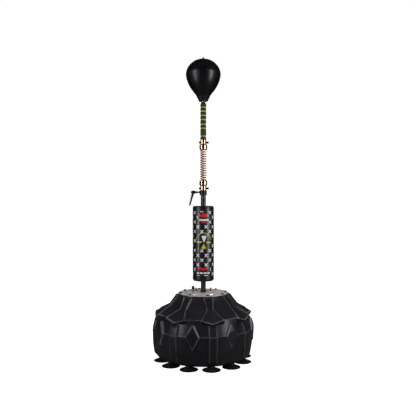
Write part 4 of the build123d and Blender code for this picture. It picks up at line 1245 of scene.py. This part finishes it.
# ---------------------------------------------------------------- studio
@dataclass
class Studio:
    """Pale floor, soft lights and the camera."""

    lens: float = 45.6
    spot: tuple[float, float, float] = (0.0232, -2.6, 0.74)
    backdrop: float = 1.0
    floor_glow: float = 1.0
    floor_bounce: float = 0.13
    front_glow: float = 0.02
    back_glow: float = 0.62
    glow_band: Point2 = (0.155, 0.085)

    def camera(self) -> None:
        """Make the level camera."""
        data = bpy.data.cameras.new("camera")
        data.lens = self.lens
        data.sensor_width = 36.0
        camera = bpy.data.objects.new("camera", data)
        camera.location = self.spot
        camera.rotation_euler = (math.pi / 2.0, 0.0, 0.0)
        bpy.context.scene.collection.objects.link(camera)
        bpy.context.scene.camera = camera
        bpy.context.scene.view_settings.view_transform = "Standard"

    def floor(self) -> None:
        """Make the pale floor."""
        material, pen, shader = new_material("pale_floor")
        point = pen.object_point()
        ray = pen.add("ShaderNodeLightPath").outputs["Is Camera Ray"]
        pale = pen.blend(pen.noise(point, 3.0, 4.0), (0.90, 0.90, 0.90, 1.0), (0.93, 0.93, 0.93, 1.0))
        pen.wire(pen.blend(ray, rgba((self.floor_bounce,) * 3), pale), shader.inputs["Base Color"])
        shader.inputs["Roughness"].default_value = 0.7
        pen.wire((1.0, 1.0, 1.0, 1.0), shader.inputs["Emission Color"])
        pen.wire(pen.math("MULTIPLY", ray, self.floor_glow), shader.inputs["Emission Strength"])
        bm = bmesh.new()
        bmesh.ops.create_circle(bm, cap_ends=True, radius=14.0, segments=96)
        mesh = bpy.data.meshes.new("floor")
        bm.to_mesh(mesh)
        bm.free()
        mesh.materials.append(material)
        floor = bpy.data.objects.new("floor", mesh)
        bpy.context.scene.collection.objects.link(floor)

    def light(
        self, name: str, at: Sequence[float], size: Point2, power: float, seen_in_gloss: bool = True
    ) -> None:
        """Make one softbox that faces the stand."""
        data = bpy.data.lights.new(name, "AREA")
        data.shape = "RECTANGLE"
        data.size, data.size_y = size
        data.energy = power
        lamp = bpy.data.objects.new(name, data)
        lamp.location = at
        lamp.visible_glossy = seen_in_gloss
        target = Vector((0.0, 0.0, 0.8))
        lamp.rotation_euler = (target - Vector(at)).to_track_quat("-Z", "Y").to_euler()
        bpy.context.scene.collection.objects.link(lamp)

    def world(self) -> None:
        """Make a pale surrounding that lights softly from above."""
        world = bpy.data.worlds.new("studio")
        world.use_nodes = True
        bpy.context.scene.world = world
        pen = NodePen(world.node_tree)
        background = next(node for node in world.node_tree.nodes if node.type == "BACKGROUND")
        ray = pen.add("ShaderNodeLightPath").outputs["Is Camera Ray"]
        axes = pen.add("ShaderNodeSeparateXYZ")
        pen.wire(pen.add("ShaderNodeTexCoord").outputs["Generated"], axes.inputs[0])
        level, half = self.glow_band
        off_level = pen.math("ABSOLUTE", pen.math("SUBTRACT", axes.outputs["Z"], level))
        in_band = pen.remap(off_level, 0.6 * half, half, 1.0, 0.0)
        facing = pen.remap(axes.outputs["Y"], 0.88, 0.97, 0.0, 1.0)
        glow = pen.math("MULTIPLY", pen.math("MULTIPLY", in_band, facing), self.back_glow)
        behind = pen.math("ADD", glow, self.front_glow)
        tone = pen.add("ShaderNodeCombineXYZ")
        for socket in tone.inputs:
            pen.wire(behind, socket)
        pen.wire(pen.blend(ray, tone.outputs[0], rgba((self.backdrop,) * 3)), background.inputs["Color"])
        background.inputs["Strength"].default_value = 1.0

    def build(self) -> None:
        """Make the floor, lights, surroundings and camera."""
        self.camera()
        self.floor()
        self.world()
        self.light("left_box", (-2.2, -1.55, 1.22), (0.62, 2.2), 40.0)
        self.light("right_box", (2.2, -1.55, 1.22), (0.62, 2.2), 48.0)
        self.light("top_box", (0.3, -0.3, 3.0), (1.6, 1.4), 45.0, seen_in_gloss=False)


def main() -> None:
    """Build the stand's pieces in order, from the floor up."""
    logging.basicConfig(level=logging.INFO, format="%(message)s")
    Studio().build()
    # The tank's finish has a light edge colour and a strong edge amount, so its convex and raised edges carry painted
    # highlight lines.
    moulded = MouldedPlastic(
        "moulded_black", colour=(0.009, 0.009, 0.0105), worn_and_highlight=(0.24, 0.24, 0.25), roughness=(0.26, 0.36),
        wear=0.6, dust=0.015, specular=0.20, highlight_layer=WeightedTank.highlight_layer,
    ).material()
    rubber = MouldedPlastic(
        "cup_rubber", colour=(0.005, 0.005, 0.005), roughness=(0.40, 0.55), wear=0.15, dust=0.02,
    ).material()
    plastic = MouldedPlastic(
        "black_plastic", colour=(0.004, 0.004, 0.004), roughness=(0.30, 0.42), wear=0.15,
    ).material()
    powder = MouldedPlastic(
        "black_powder_coat", colour=(0.005, 0.005, 0.006), roughness=(0.22, 0.32), grain=0.16, grain_scale=1400.0,
        wear=0.35,
    ).material()
    foam = MouldedPlastic(
        "sleeve_foam", colour=(0.020, 0.0145, 0.0145), roughness=(0.42, 0.55), grain=0.25, wear=0.1, dust=0.0,
    ).material()
    green = MouldedPlastic(
        "ring_green", colour=(0.29, 0.52, 0.020), worn_and_highlight=(0.4, 0.6, 0.1), roughness=(0.35, 0.5),
    ).material()
    nylon = MouldedPlastic("grey_nylon", colour=(0.30, 0.30, 0.30), worn_and_highlight=(0.5, 0.5, 0.5)).material()
    steel = PolishedMetal("bright_steel", roughness=(0.16, 0.30)).material()
    plate = PolishedMetal(
        "plate_zinc", colour=(0.60, 0.545, 0.52), shade=(0.40, 0.36, 0.34), roughness=(0.20, 0.32), metallic=0.45,
    ).material()
    fixing = PolishedMetal(
        "fixing_zinc", colour=(0.24, 0.23, 0.23), shade=(0.12, 0.12, 0.12), roughness=(0.30, 0.42),
    ).material()
    copper = PolishedMetal(
        "polished_copper", colour=(0.86, 0.47, 0.33), shade=(0.55, 0.24, 0.14), roughness=(0.08, 0.16),
    ).material()
    spring_wire = PolishedMetal(
        "spring_copper", colour=(0.70, 0.28, 0.11), shade=(0.34, 0.115, 0.04), roughness=(0.24, 0.36),
    ).material()
    leather = CoatedLeather("ball_leather").material()
    cover = PrintedCover("printed_cover", marks=PAD_MARKS).material()

    WeightedTank().build(moulded)
    SuctionCups().build(rubber)
    TopPlates().build(fixing, powder)
    pad = PolePad()
    pad.build(cover)
    pad.bindings(plastic)
    ClampLever().build(plastic)
    SpringNeck().build(copper, spring_wire, powder)
    GripSleeve().build(foam, green)
    SpeedBall().build(leather, rubber, plastic)
    dress(plate, "mount_ring", "pole_flange")
    dress(fixing, "flange_washers")
    dress(steel, "cup_studs", "inner_tube", "ball_rod")
    dress(powder, "outer_tube", "foot_collar", "clamp_screw", "hub_screw")
    dress(rubber, "top_gasket", "cap_seal")
    dress(plastic, "clamp_collar", "fill_cap", "fill_spout")
    dress(nylon, "guide_bush", "tail_bush", "pressure_pad", "ballast_fill")


if __name__ == "__main__":
    main()
